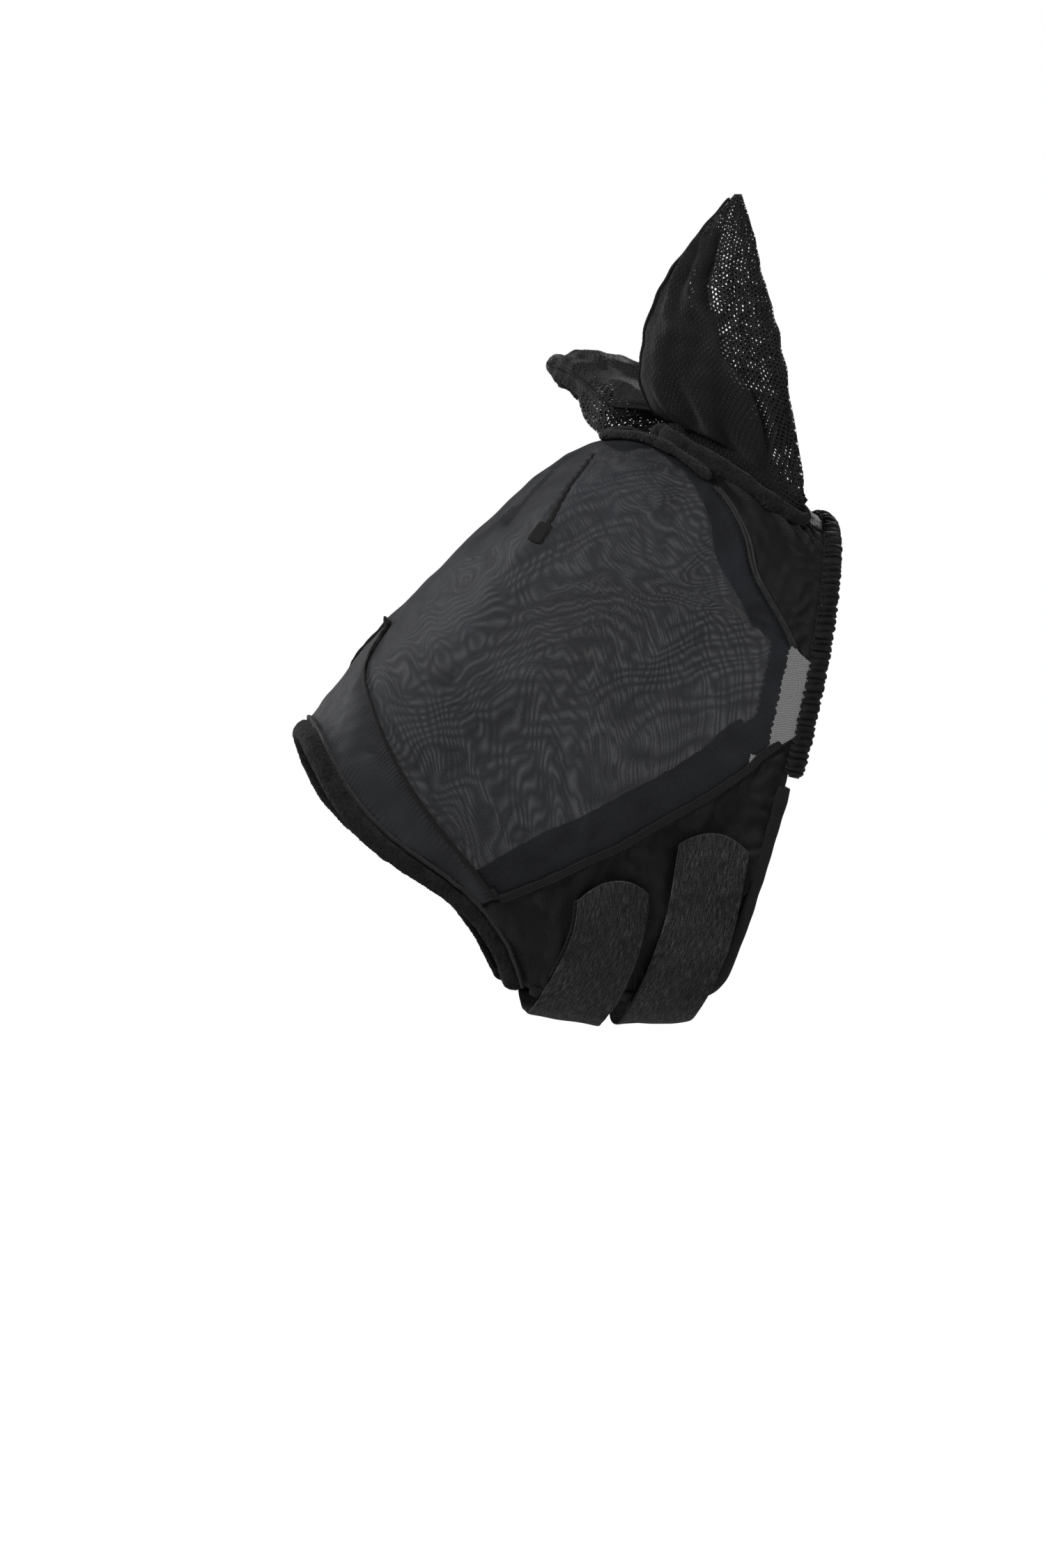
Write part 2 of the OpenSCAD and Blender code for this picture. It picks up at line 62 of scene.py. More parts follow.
TOP = ((-327, -156), (-276, -92), (-222, -38), (-165, 14), (-110, 42), (-40, 26), (30, -16))
UNDER = ((-184, -336), (-166, -346), (-148, -350), (-128, -352), (-106, -353), (-80, -353), (-50, -349))
HALF = (62, 86, 106, 110, 102, 90, 84)
BOW = (0, 0, -2, -5, -8, -9, -7)
SWAY = (12, 7, 3, 0, 0, -1, 0)
TAPER = (0.30, 0.34, 0.38, 0.40, 0.42, 0.40, 0.36)
MESH_BACK = (0.64, 0.704, 0.762, 0.812, 0.845, 0.866, 0.94, 0.978, 0.982, 0.982)
JAW_EDGE_T = 0.87
CASING_END_T = 0.5
EAR_MID = (0.84, 0.078)
EAR_LONG = (0.104, 0.055)
EAR_SHORT = (-0.02, 0.036)
FRONT_LINE = (0.535, 0.51, 0.42, 0.33, 0.31, 0.32, 0.36, 0.42)
REAR_LINE = (0.84, 0.842, 0.82, 0.785, 0.77, 0.775, 0.80, 0.82)
STRAP_TOP_T, STRAP_END_T = 0.60, 1.30
FRONT_TIP, REAR_TIP = 0.03, -0.024      # where the free ends lie, from STRAP_TOP_T
HOOK_END_T, LOOP_END_T = 0.795, 0.806
# Heights over the form of the strap's layers: webbing, hook tape under it, loop tape on the jaw
WEB_TOP, WEB_MID, WEB_UNDER = 6.3, 5.5, 4.85
HOOK_TOP, HOOK_UNDER = 4.25, 3.2
LOOP_TOP, LOOP_UNDER = 2.6, 1.5
THREAD_RISE = 2.0
NEAR_EAR = (
    ((-50, -36, 34), (-54, -48, 82), (-56, -56, 126), (-52, -60, 170), (-40, -62, 210)),
    (52, 50, 41, 25, 2.5),
    (22, 25, 21, 12, 1.5),
)
OFF_EAR = (
    ((-50, -36, 34), (-52, -46, 74), (-51, -52, 112), (-48, -54, 146), (-44, -55, 176)),
    (52, 48, 38, 28, 9),
    (22, 24, 22, 18, 7),
)
EAR_FOLD = (0.8, -0.4, -0.45)
OFF_EAR_FOLD = 66
FINE = 0.002
U_LONG, T_LONG, CROWN_LONG = 330, 560, 300      # about how far u, t and the crown's u run, in millimetres


def spline(table, x):
    """Smooth curve through equally spaced table rows: each stretch is the cubic whose end slopes
    are half the step between the rows on either side of it. x runs from 0 to 1."""
    p = np.asarray(table, float)
    if p.ndim == 1:
        return spline(p[:, None], x)[..., 0]
    n = len(p) - 1
    s = np.clip(np.asarray(x, float), 0, 1) * n
    i = np.minimum(np.floor(s).astype(int), n - 1)
    f = (s - i)[..., None]
    full = np.vstack([2 * p[0] - p[1], p, 2 * p[n] - p[n - 1]])
    a, b, c, d = full[i], full[i + 1], full[i + 2], full[i + 3]
    return 0.5 * (2 * b + (c - a) * f + (2 * a - 5 * b + 4 * c - d) * f**2 + (3 * b - a - 3 * c + d) * f**3)


def smooth(x):
    """0 below 0, 1 above 1, and 3x squared less 2x cubed between."""
    c = np.clip(x, 0, 1)
    return c * c * (3 - 2 * c)


def mix(a, b, f):
    return a + (b - a) * f


def unit(v):
    """Vectors divided by their lengths."""
    return v / np.maximum(np.linalg.norm(v, axis=-1, keepdims=True), 1e-9)


def dot(a, b):
    return (a * b).sum(-1)


def form(u, t):
    """Head form: a rounded oval section hung between the top and under lines. Its depth is a power
    of the cosine of t, and its half-width a power of the sine, narrowing towards the jaw."""
    u, t = np.broadcast_arrays(np.asarray(u, float), np.asarray(t, float))
    side = np.where(t < 0, 1.0, -1.0)
    t = np.abs(t)
    side = np.where(t > 1, -side, side)
    t = np.where(t > 1, 2 - t, t)
    top, under = spline(TOP, u), spline(UNDER, u)
    d = under - top
    e = d / np.linalg.norm(d, axis=-1, keepdims=True)
    c = np.cos(np.pi * t)
    s = (1 - np.sign(c) * np.abs(c) ** 0.85) / 2
    y = spline(HALF, u) * np.maximum(np.sin(np.pi * t), 0) ** 0.72 * (1 - spline(TAPER, u) * s**1.6)
    q = spline(BOW, u) * 4 * s * (1 - s) + spline(SWAY, u) * np.sin(2 * np.pi * s)
    x = top[..., 0] + d[..., 0] * s + e[..., 1] * q
    z = top[..., 1] + d[..., 1] * s - e[..., 0] * q
    return np.stack([x, side * y, z], -1)


def along_u(u, t):
    lo, hi = np.maximum(np.asarray(u, float) - FINE, 0), np.minimum(np.asarray(u, float) + FINE, 1)
    return (form(hi, t) - form(lo, t)) / (hi - lo + 0 * np.asarray(t))[..., None]


def along_t(u, t):
    t = np.asarray(t, float)
    return (form(u, t + FINE) - form(u, t - FINE)) / (2 * FINE)


def outward(u, t):
    """Unit normal of the form: across its two directions, away from the head."""
    return unit(np.cross(along_t(u, t), along_u(u, t)))


def skin(u, t, h):
    """A point raised by h millimetres from the form."""
    return form(u, t) + outward(u, t) * np.asarray(h, float)[..., None]


def step_u(u, t, mm):
    return u + mm / np.linalg.norm(along_u(u, t), axis=-1)


def step_t(u, t, mm):
    return t + mm / np.linalg.norm(along_t(u, t), axis=-1)


def nose_back(t):
    return 0.11 + 0.085 * np.exp(-np.abs(t) / 0.045)


def mesh_back(t):
    return spline(MESH_BACK, np.abs(t) / 0.06 / (len(MESH_BACK) - 1))


def jaw_line(u):
    return 0.595 - 0.57 * np.maximum(np.asarray(u, float) - 0.5, 0) ** 2


def ear_oval(a, grow=0.0):
    """Edge of the ear opening at angle a in degrees (0 rear, 90 outer side), moved out by grow."""
    c, s = np.cos(np.radians(a)), np.sin(np.radians(a))
    u = EAR_MID[0] + (EAR_LONG[0] + grow) * c + EAR_SHORT[0] * s
    return u, EAR_MID[1] + EAR_LONG[1] * c + (EAR_SHORT[1] + grow) * s


def ear_angle(u, t):
    du, dt = u - EAR_MID[0], t - EAR_MID[1]
    return np.degrees(np.arctan2(EAR_LONG[0] * dt - EAR_LONG[1] * du, EAR_SHORT[1] * du - EAR_SHORT[0] * dt))


def bump(x, width):
    """A single rounded rise: a bell curve of x over width."""
    return np.exp(-((x / width) ** 2))


def dome(u, t, room):
    """The hollow that the darts give the net over each eye."""
    return room * bump(u - 0.37, 0.15) * bump(np.abs(t) - 0.27, 0.12)


def waves(p, size, seed, terms=11):
    """Soft uneven bumps: the mean of sine waves of about one length, in seeded directions, over
    points or places p."""
    rng = np.random.default_rng(seed)
    total = np.zeros(p.shape[:-1])
    for _ in range(terms):
        way = rng.normal(size=p.shape[-1])
        way /= np.linalg.norm(way)
        length = size * rng.uniform(0.7, 1.5)
        total += np.sin(2 * np.pi / length * (p @ way) + rng.uniform(0, 2 * np.pi))
    return total / math.sqrt(terms / 2)


def ridge(p, size, seed):
    """Sharp-topped folds: 1 less the size of soft bumps."""
    return 1 - np.abs(waves(p, size, seed)) * 1.3


# ---- Meshes -----------------------------------------------------------------------------------


class Shape:
    """Collects grids of points in millimetres and makes one mesh of them in metres, with a UV map in
    decimetres along the cloth and on each point a value that sets painted shade and painted light."""

    def __init__(self):
        self.points, self.tone, self.count = [], [], 0
        self.faces = {3: [], 4: []}
        self.uv = {3: [], 4: []}

    def add_points(self, p, tone):
        start = self.count
        flat = p.reshape(-1, 3)
        self.points.append(flat)
        self.tone.append(np.broadcast_to(tone, p.shape[:-1]).reshape(-1).astype(float))
        self.count += len(flat)
        return start

    def grid(self, p, wrap=False, out=None, caps=False, uv=None, tone=0.0, flip=False):
        """A sheet of quads over a grid of points, or over many grids alike. wrap joins the last
        column to the first, and caps closes both ends on to their middle points. Faces turn to
        the side that out points to, or away from each row's middle."""
        p = np.asarray(p, float)
        if p.ndim == 3:
            p = p[None]
        n, rows, cols = p.shape[:3]
        if out is None:
            out = p - p.mean(2, keepdims=True)
        start = self.add_points(p, tone if np.ndim(tone) < 2 else np.asarray(tone).reshape(n, rows, cols))
        wide = cols if wrap else cols - 1
        r, c = np.meshgrid(np.arange(rows - 1), np.arange(wide), indexing="ij")
        c2 = (c + 1) % cols
        ring = [r * cols + c, r * cols + c2, (r + 1) * cols + c2, (r + 1) * cols + c]
        quad = np.stack(ring, -1).reshape(-1, 4)
        flat = p[0].reshape(-1, 3)
        away = np.broadcast_to(out, p.shape)[0].reshape(-1, 3)
        normal = np.cross(flat[quad[:, 2]] - flat[quad[:, 0]], flat[quad[:, 3]] - flat[quad[:, 1]])
        turn = (dot(normal, away[quad[:, 0]]).sum() < 0) != flip
        if uv is None:
            uv = cloth_uv(p[0], wrap)
        k, w = np.meshgrid(np.arange(rows - 1), np.arange(wide), indexing="ij")
        corner = np.stack([uv[k, w], uv[k, w + 1], uv[k + 1, w + 1], uv[k + 1, w]], -2).reshape(-1, 4, 2)
        if turn:
            quad, corner = quad[:, ::-1], corner[:, ::-1]
        lift = (start + np.arange(n) * rows * cols)[:, None, None]
        self.faces[4].append((quad[None] + lift).reshape(-1, 4))
        self.uv[4].append(np.broadcast_to(corner, (n,) + corner.shape).reshape(-1, 4, 2))
        if caps:
            for row, back in ((0, True), (rows - 1, False)):
                mid = p[:, row].mean(1)
                hub = self.add_points(mid[:, None], tone if np.ndim(tone) == 0 else 0.0)
                c = np.arange(cols)
                rim = row * cols + np.stack([c, (c + 1) % cols], -1)
                hubs = np.broadcast_to((hub + np.arange(n))[:, None, None], (n, cols, 1))
                tri = np.concatenate([hubs, rim[None] + lift], -1)
                order = (0, 1, 2) if back == turn else (0, 2, 1)
                tri = tri[..., order].reshape(-1, 3)
                self.faces[3].append(tri)
                self.uv[3].append(np.broadcast_to(uv[row, 0], (len(tri), 3, 2)))
        return self

    def slab(self, over, under, uv=None, tone=0.0):
        """Cloth with thickness: two grids of points, joined round their edges."""
        out = over - under
        uv = cloth_uv(over, False) if uv is None else uv
        self.grid(over, out=out, uv=uv, tone=tone)
        a = self.count - over.shape[0] * over.shape[1]
        self.grid(under, out=-out, uv=uv, tone=tone)
        b = self.count - under.shape[0] * under.shape[1]
        rows, cols = over.shape[:2]
        ring = np.concatenate([
            np.arange(cols), (np.arange(1, rows)) * cols + cols - 1,
            (rows - 1) * cols + np.arange(cols - 2, -1, -1), np.arange(rows - 2, 0, -1) * cols,
        ])
        nxt = np.roll(ring, -1)
        quad = np.stack([a + ring, b + ring, b + nxt, a + nxt], -1)
        pts = np.concatenate(self.points)
        side = np.cross(pts[quad[:, 2]] - pts[quad[:, 0]], pts[quad[:, 3]] - pts[quad[:, 1]])
        if dot(side, pts[a + ring] - over.reshape(-1, 3).mean(0)).sum() < 0:
            quad = quad[:, ::-1]
        self.faces[4].append(quad)
        self.uv[4].append(np.repeat(uv.reshape(-1, 2)[ring][:, None], 4, 1))
        return self

    def make(self, name, material):
        """One mesh object from everything collected, at the origin."""
        mesh = bpy.data.meshes.new(name)
        points = np.concatenate(self.points) * MM
        quads = np.concatenate(self.faces[4]) if self.faces[4] else np.zeros((0, 4), int)
        tris = np.concatenate(self.faces[3]) if self.faces[3] else np.zeros((0, 3), int)
        loops = np.concatenate([quads.ravel(), tris.ravel()]).astype(np.int32)
        after = len(quads) * 4
        start = np.concatenate([np.arange(len(quads)) * 4, after + np.arange(len(tris)) * 3]).astype(np.int32)
        mesh.vertices.add(len(points))
        mesh.vertices.foreach_set("co", points.astype(np.float32).ravel())
        mesh.loops.add(len(loops))
        mesh.loops.foreach_set("vertex_index", loops)
        mesh.polygons.add(len(start))
        mesh.polygons.foreach_set("loop_start", start)
        mesh.update(calc_edges=True)
        mesh.polygons.foreach_set("use_smooth", np.ones(len(start), bool))
        layer = mesh.uv_layers.new(name="cloth")
        uv = [np.concatenate(self.uv[k]).reshape(-1, 2) for k in (4, 3) if self.uv[k]]
        layer.data.foreach_set("uv", (np.concatenate(uv) / 100).astype(np.float32).ravel())
        # per-point value for painted shade and painted light, read by the cloth materials
        tone = mesh.attributes.new("tone", "FLOAT", "POINT")
        tone.data.foreach_set("value", np.concatenate(self.tone).astype(np.float32))
        if mesh.validate():
            raise RuntimeError(name + ": the mesh had faces that don't hold")
        mesh.materials.append(material)
        obj = bpy.data.objects.new(name, mesh)
        bpy.context.scene.collection.objects.link(obj)
        return obj


def cloth_uv(p, wrap):
    """Distances along the cloth in millimetres: across each row from its middle column, and down
    each column from its first row."""
    q = np.concatenate([p, p[:, :1]], 1) if wrap else p
    across = np.cumsum(np.linalg.norm(np.diff(q, axis=1), axis=-1), 1)
    across = np.concatenate([np.zeros((len(q), 1)), across], 1)
    across -= across[:, [across.shape[1] // 2]]
    down = np.cumsum(np.linalg.norm(np.diff(q, axis=0), axis=-1), 0)
    down = np.concatenate([np.zeros((1, q.shape[1])), down], 0)
    return np.stack([across, down], -1)


def lengths(p):
    """Distance along a line of points to each of them."""
    return np.concatenate([[0], np.cumsum(np.linalg.norm(np.diff(p, axis=0), axis=-1))])


def even(p, ups, gap):
    """The line's points and ups at even distances of about gap millimetres."""
    s = lengths(p)
    x = np.linspace(0, s[-1], max(int(s[-1] / gap), 4) + 1)
    q = np.stack([np.interp(x, s, p[:, k]) for k in range(3)], -1)
    w = np.stack([np.interp(x, s, ups[:, k]) for k in range(3)], -1)
    return q, unit(w), x


def tube(p, ups, half, high, sides, loop=False, square=1.0, swell=None):
    """A section carried along a line: at each angle it stands half across the line and high off
    the surface, times the cosine and sine, squared off by a power below 1. swell scales it."""
    if loop:
        way = unit(np.roll(p, -1, 0) - np.roll(p, 1, 0))
    else:
        way = unit(np.gradient(p, axis=0))
    across = unit(np.cross(ups, way))
    up = np.cross(way, across)
    a = np.linspace(0, 2 * np.pi, sides, endpoint=False)
    c, s = (np.sign(f) * np.abs(f) ** square for f in (np.cos(a), np.sin(a)))
    size = 1.0 if swell is None else swell[..., None]
    half, high = np.broadcast_to(half, len(p))[:, None, None], np.broadcast_to(high, len(p))[:, None, None]
    off = across[:, None] * half * c[None, :, None] + up[:, None] * high * s[None, :, None]
    return p[:, None] + off * size


def on_skin(u, t, h):
    """A line of places raised by h: its points and their outward directions."""
    return skin(u, t, h + 0 * np.asarray(t)), outward(u, t)


def ended(n, s, length, soft):
    """Rounds the ends of a roll: the square root of a circle's height over the last stretch."""
    x = np.clip(np.minimum(s, length - s) / soft, 0, 1)
    return np.sqrt(np.clip(1 - (1 - x) ** 2, 0.02, 1))[:, None] * np.ones((1, n))


def stitches(shape, p, ups, pitch=3.6, long=2.7, thick=0.5, sway=0.0, proud=0.15):
    """Separate stitches along a line: each is a short thread whose thickness is a half circle over
    its length, and whose middle stands proud. sway sets every other one off to each side, which
    makes a zigzag."""
    s = lengths(p)
    n = int((s[-1] - long) / pitch)
    if n < 1:
        return shape
    start = (np.arange(n) + 0.5) * pitch
    f = np.linspace(0, 1, 5)
    x = start[:, None] + long * f
    q = np.stack([np.interp(x, s, p[:, k]) for k in range(3)], -1)
    w = unit(np.stack([np.interp(x, s, ups[:, k]) for k in range(3)], -1))
    way = unit(q[:, -1:] - q[:, :1])
    across = unit(np.cross(w, way))
    if sway:
        turn = np.where(np.arange(n) % 2, 1.0, -1.0)[:, None] * (2 * f - 1) * sway
        q = q + across * turn[..., None]
        way = unit(q[:, -1:] - q[:, :1])
        across = unit(np.cross(w, way))
    swell = np.sqrt(np.clip(1 - (2 * f - 1) ** 2, 0.08, 1))
    q = q + w * (proud * swell)[None, :, None]
    a = np.radians([0, 72, 144, 216, 288])
    rings = q[:, :, None] + thick / 2 * swell[None, :, None, None] * (
        across[:, :, None] * np.cos(a)[:, None] + w[:, :, None] * np.sin(a)[:, None])
    return shape.grid(rings, wrap=True, caps=True, tone=0.5)


# ---- Material nodes -----------------------------------------------------------------------------


def node(tree, kind, inputs=(), **settings):
    """A node with its settings, and its inputs set to values or joined to sockets."""
    n = tree.nodes.new(kind)
    for key, value in settings.items():
        setattr(n, key, value)
    for key, value in dict(inputs).items():
        if isinstance(value, bpy.types.NodeSocket):
            tree.links.new(value, n.inputs[key])
        else:
            n.inputs[key].default_value = value
    return n


def calc(tree, operation, a, b=0.0, c=0.0, clamp=False):
    """The result socket of a Math node."""
    n = node(tree, "ShaderNodeMath", {0: a, 1: b, 2: c}, operation=operation, use_clamp=clamp)
    return n.outputs[0]


def scaled(tree, vector, by):
    """A vector socket times three numbers."""
    return node(tree, "ShaderNodeVectorMath", {0: vector, 1: by}, operation="MULTIPLY").outputs[0]


def noise(tree, vector, scale, detail=2.0, rough=0.5):
    values = {"Vector": vector, "Scale": scale, "Detail": detail, "Roughness": rough}
    return node(tree, "ShaderNodeTexNoise", values).outputs["Fac"]


def remap(tree, value, a, b, c=0.0, d=1.0):
    """A value from the range a to b carried on to c to d, and held there."""
    values = {"Value": value, "From Min": a, "From Max": b, "To Min": c, "To Max": d}
    return node(tree, "ShaderNodeMapRange", values).outputs[0]


def blend_colour(tree, factor, a, b):
    n = node(tree, "ShaderNodeMix", data_type="RGBA")
    for key, value in ((0, factor), (6, a), (7, b)):
        if isinstance(value, bpy.types.NodeSocket):
            tree.links.new(value, n.inputs[key])
        else:
            n.inputs[key].default_value = value
    return n.outputs[2]


def group(name, inputs, outputs, build):
    """A node group with named sockets: build is given the tree and its input sockets by name, and
    gives back the output sockets by name."""
    tree = bpy.data.node_groups.new(name, "ShaderNodeTree")
    for key, kind, value in inputs:
        s = tree.interface.new_socket(key, in_out="INPUT", socket_type=kind)
        if value is not None:
            s.default_value = value
    for key in outputs:
        tree.interface.new_socket(key, in_out="OUTPUT", socket_type="NodeSocketFloat")
    start, end = tree.nodes.new("NodeGroupInput"), tree.nodes.new("NodeGroupOutput")
    for key, socket in build(tree, {s.name: s for s in start.outputs if s.name}).items():
        tree.links.new(socket, end.inputs[key])
    return tree


VECTOR, NUMBER = "NodeSocketVector", "NodeSocketFloat"


def build_weave(tree, i):
    """Plain weave: the cloth is cut into squares of one thread. On every other square the thread
    across passes over, and its height is a sine over its width and along its length."""
    at = node(tree, "ShaderNodeVectorMath", {0: i["Place"], 1: i["Threads"]}, operation="MULTIPLY").outputs[0]
    xyz = node(tree, "ShaderNodeSeparateXYZ", {0: at})
    x, y = xyz.outputs[0], xyz.outputs[1]
    fx, fy = (calc(tree, "SINE", calc(tree, "MULTIPLY", calc(tree, "FRACT", v), math.pi)) for v in (x, y))
    squares = calc(tree, "ADD", calc(tree, "FLOOR", x), calc(tree, "FLOOR", y))
    odd = calc(tree, "MODULO", calc(tree, "ABSOLUTE", squares), 2.0)
    over_x = calc(tree, "MULTIPLY", fx, calc(tree, "MULTIPLY_ADD", fy, 0.5, 0.5))
    over_y = calc(tree, "MULTIPLY", fy, calc(tree, "MULTIPLY_ADD", fx, 0.5, 0.5))
    height = node(tree, "ShaderNodeMix", {0: odd, 2: over_x, 3: over_y}, data_type="FLOAT").outputs[0]
    return {"Height": height, "Thread": calc(tree, "POWER", calc(tree, "MAXIMUM", fx, fy), 2.0)}


def build_net(tree, i):
    """Square net: the distance to the nearest thread, from the fractions of the two coordinates,
    is below half the thread's share of the pitch on a thread."""
    at = node(tree, "ShaderNodeVectorMath", {0: i["Place"], 1: i["Threads"]}, operation="MULTIPLY").outputs[0]
    xyz = node(tree, "ShaderNodeSeparateXYZ", {0: at})
    lines = []
    for k in (0, 1):
        off = calc(tree, "ABSOLUTE", calc(tree, "SUBTRACT", calc(tree, "FRACT", xyz.outputs[k]), 0.5))
        lines.append(calc(tree, "DIVIDE", off, 0.5))
    near = calc(tree, "MAXIMUM", *lines)
    edge = calc(tree, "SUBTRACT", 1.0, i["Share"])
    thread = remap(tree, near, calc(tree, "SUBTRACT", edge, 0.08), calc(tree, "ADD", edge, 0.08))
    return {"Thread": thread, "Height": near}


def build_ribs(tree, i):
    """Knit wales: upright ribs whose height is a sine across, each a column of slanting loops: the
    coordinate along it is pushed on by the distance from the rib's middle."""
    at = node(tree, "ShaderNodeVectorMath", {0: i["Place"], 1: i["Threads"]}, operation="MULTIPLY").outputs[0]
    xyz = node(tree, "ShaderNodeSeparateXYZ", {0: at})
    f = calc(tree, "FRACT", xyz.outputs[0])
    off = calc(tree, "ABSOLUTE", calc(tree, "SUBTRACT", f, 0.5))
    rib = calc(tree, "SINE", calc(tree, "MULTIPLY", f, math.pi))
    slant = calc(tree, "MULTIPLY_ADD", off, 1.2, xyz.outputs[1])
    loop = calc(tree, "SINE", calc(tree, "MULTIPLY", slant, 2 * math.pi))
    loops = calc(tree, "MULTIPLY", rib, loop)
    height = calc(tree, "MULTIPLY_ADD", loops, 0.3, calc(tree, "MULTIPLY", rib, 0.7))
    return {"Height": height, "Groove": calc(tree, "POWER", calc(tree, "SUBTRACT", 1.0, rib), 2.0)}


def build_nap(tree, i):
    """Fleece: fine and coarse noise added, with a mask for painted shade in its low places."""
    fine = noise(tree, i["Place"], calc(tree, "DIVIDE", 1.0, i["Tuft"]), 3.0, 0.65)
    coarse = noise(tree, i["Place"], calc(tree, "DIVIDE", 0.22, i["Tuft"]), 2.0)
    height = calc(tree, "MULTIPLY_ADD", coarse, 0.5, calc(tree, "MULTIPLY", fine, 0.6))
    return {"Height": height, "Hollow Shade": remap(tree, height, 0.42, 0.62, 1.0, 0.0)}


def build_fibres(tree, i):
    """Heather yarn: noise drawn out along the cloth, where the brightest streaks are pale fibres,
    with soft blotches over many threads."""
    streak = noise(tree, scaled(tree, i["Place"], (130.0, 12.0, 1.0)), 1.0, 3.0, 0.7)
    cross = noise(tree, scaled(tree, i["Place"], (40.0, 110.0, 1.0)), 1.0, 2.0, 0.6)
    blotch = noise(tree, scaled(tree, i["Place"], (7.0, 3.0, 1.0)), 1.0, 2.0)
    pale = calc(tree, "MULTIPLY_ADD", remap(tree, cross, 0.5, 0.75), 0.35, remap(tree, streak, 0.46, 0.72))
    pale = calc(tree, "MULTIPLY", pale, remap(tree, blotch, 0.3, 0.7, 0.7, 1.15), clamp=True)
    return {"Pale": pale, "Height": streak}


def build_lint(tree, i):
    """Specks of lint and dust: the closest points of a scattering, kept where a noise is high."""
    spot = node(tree, "ShaderNodeTexVoronoi", {"Vector": i["Place"], "Scale": 150.0}).outputs["Distance"]
    some = remap(tree, noise(tree, i["Place"], 23.0, 2.0), 0.56, 0.66)
    speck = calc(tree, "MULTIPLY", remap(tree, spot, 0.1, 0.05), some)
    return {"Speck": calc(tree, "MULTIPLY", speck, i["Amount"], clamp=True)}


def build_holes(tree, i):
    """Rows of round holes, each row set half a pitch on from the last: the distance to the middle
    of the cell, below the hole's radius."""
    at = node(tree, "ShaderNodeVectorMath", {0: i["Place"], 1: i["Holes"]}, operation="MULTIPLY").outputs[0]
    xyz = node(tree, "ShaderNodeSeparateXYZ", {0: at})
    row = calc(tree, "ABSOLUTE", calc(tree, "FLOOR", xyz.outputs[1]))
    row = calc(tree, "MULTIPLY", calc(tree, "MODULO", row, 2.0), 0.5)
    x = calc(tree, "SUBTRACT", calc(tree, "FRACT", calc(tree, "ADD", xyz.outputs[0], row)), 0.5)
    y = calc(tree, "MULTIPLY", calc(tree, "SUBTRACT", calc(tree, "FRACT", xyz.outputs[1]), 0.5), 0.87)
    r = calc(tree, "SQRT", calc(tree, "ADD", calc(tree, "MULTIPLY", x, x), calc(tree, "MULTIPLY", y, y)))
    inside, outside = calc(tree, "SUBTRACT", i["Radius"], 0.04), calc(tree, "ADD", i["Radius"], 0.04)
    return {"Cloth": remap(tree, r, inside, outside),
            "Rim": remap(tree, r, i["Radius"], calc(tree, "ADD", i["Radius"], 0.14), 1.0, 0.0)}


GROUPS = {}


def make_groups():
    place, threads = ("Place", VECTOR, None), ("Threads", VECTOR, (100.0, 100.0, 1.0))
    GROUPS["weave"] = group("Plain weave", (place, threads), ("Height", "Thread"), build_weave)
    GROUPS["net"] = group("Square net", (place, threads, ("Share", NUMBER, 0.5)), ("Thread", "Height"),
        build_net)
    GROUPS["ribs"] = group("Knit wales", (place, threads), ("Height", "Groove"), build_ribs)
    GROUPS["nap"] = group("Fleece nap", (place, ("Tuft", NUMBER, 0.002)), ("Height", "Hollow Shade"), build_nap)
    GROUPS["fibres"] = group("Heather fibres", (place,), ("Pale", "Height"), build_fibres)
    GROUPS["lint"] = group("Lint", (place, ("Amount", NUMBER, 0.5)), ("Speck",), build_lint)
    GROUPS["holes"] = group("Knit holes", (place, ("Holes", VECTOR, (28.0, 33.0, 1.0)),
        ("Radius", NUMBER, 0.2)), ("Cloth", "Rim"), build_holes)


def use(tree, name, inputs):
    n = node(tree, "ShaderNodeGroup", node_tree=GROUPS[name])
    for key, value in inputs.items():
        if isinstance(value, bpy.types.NodeSocket):
            tree.links.new(value, n.inputs[key])
        else:
            n.inputs[key].default_value = value
    return n.outputs


def rgba(c, by=1.0):
    return (c[0] * by, c[1] * by, c[2] * by, 1.0)


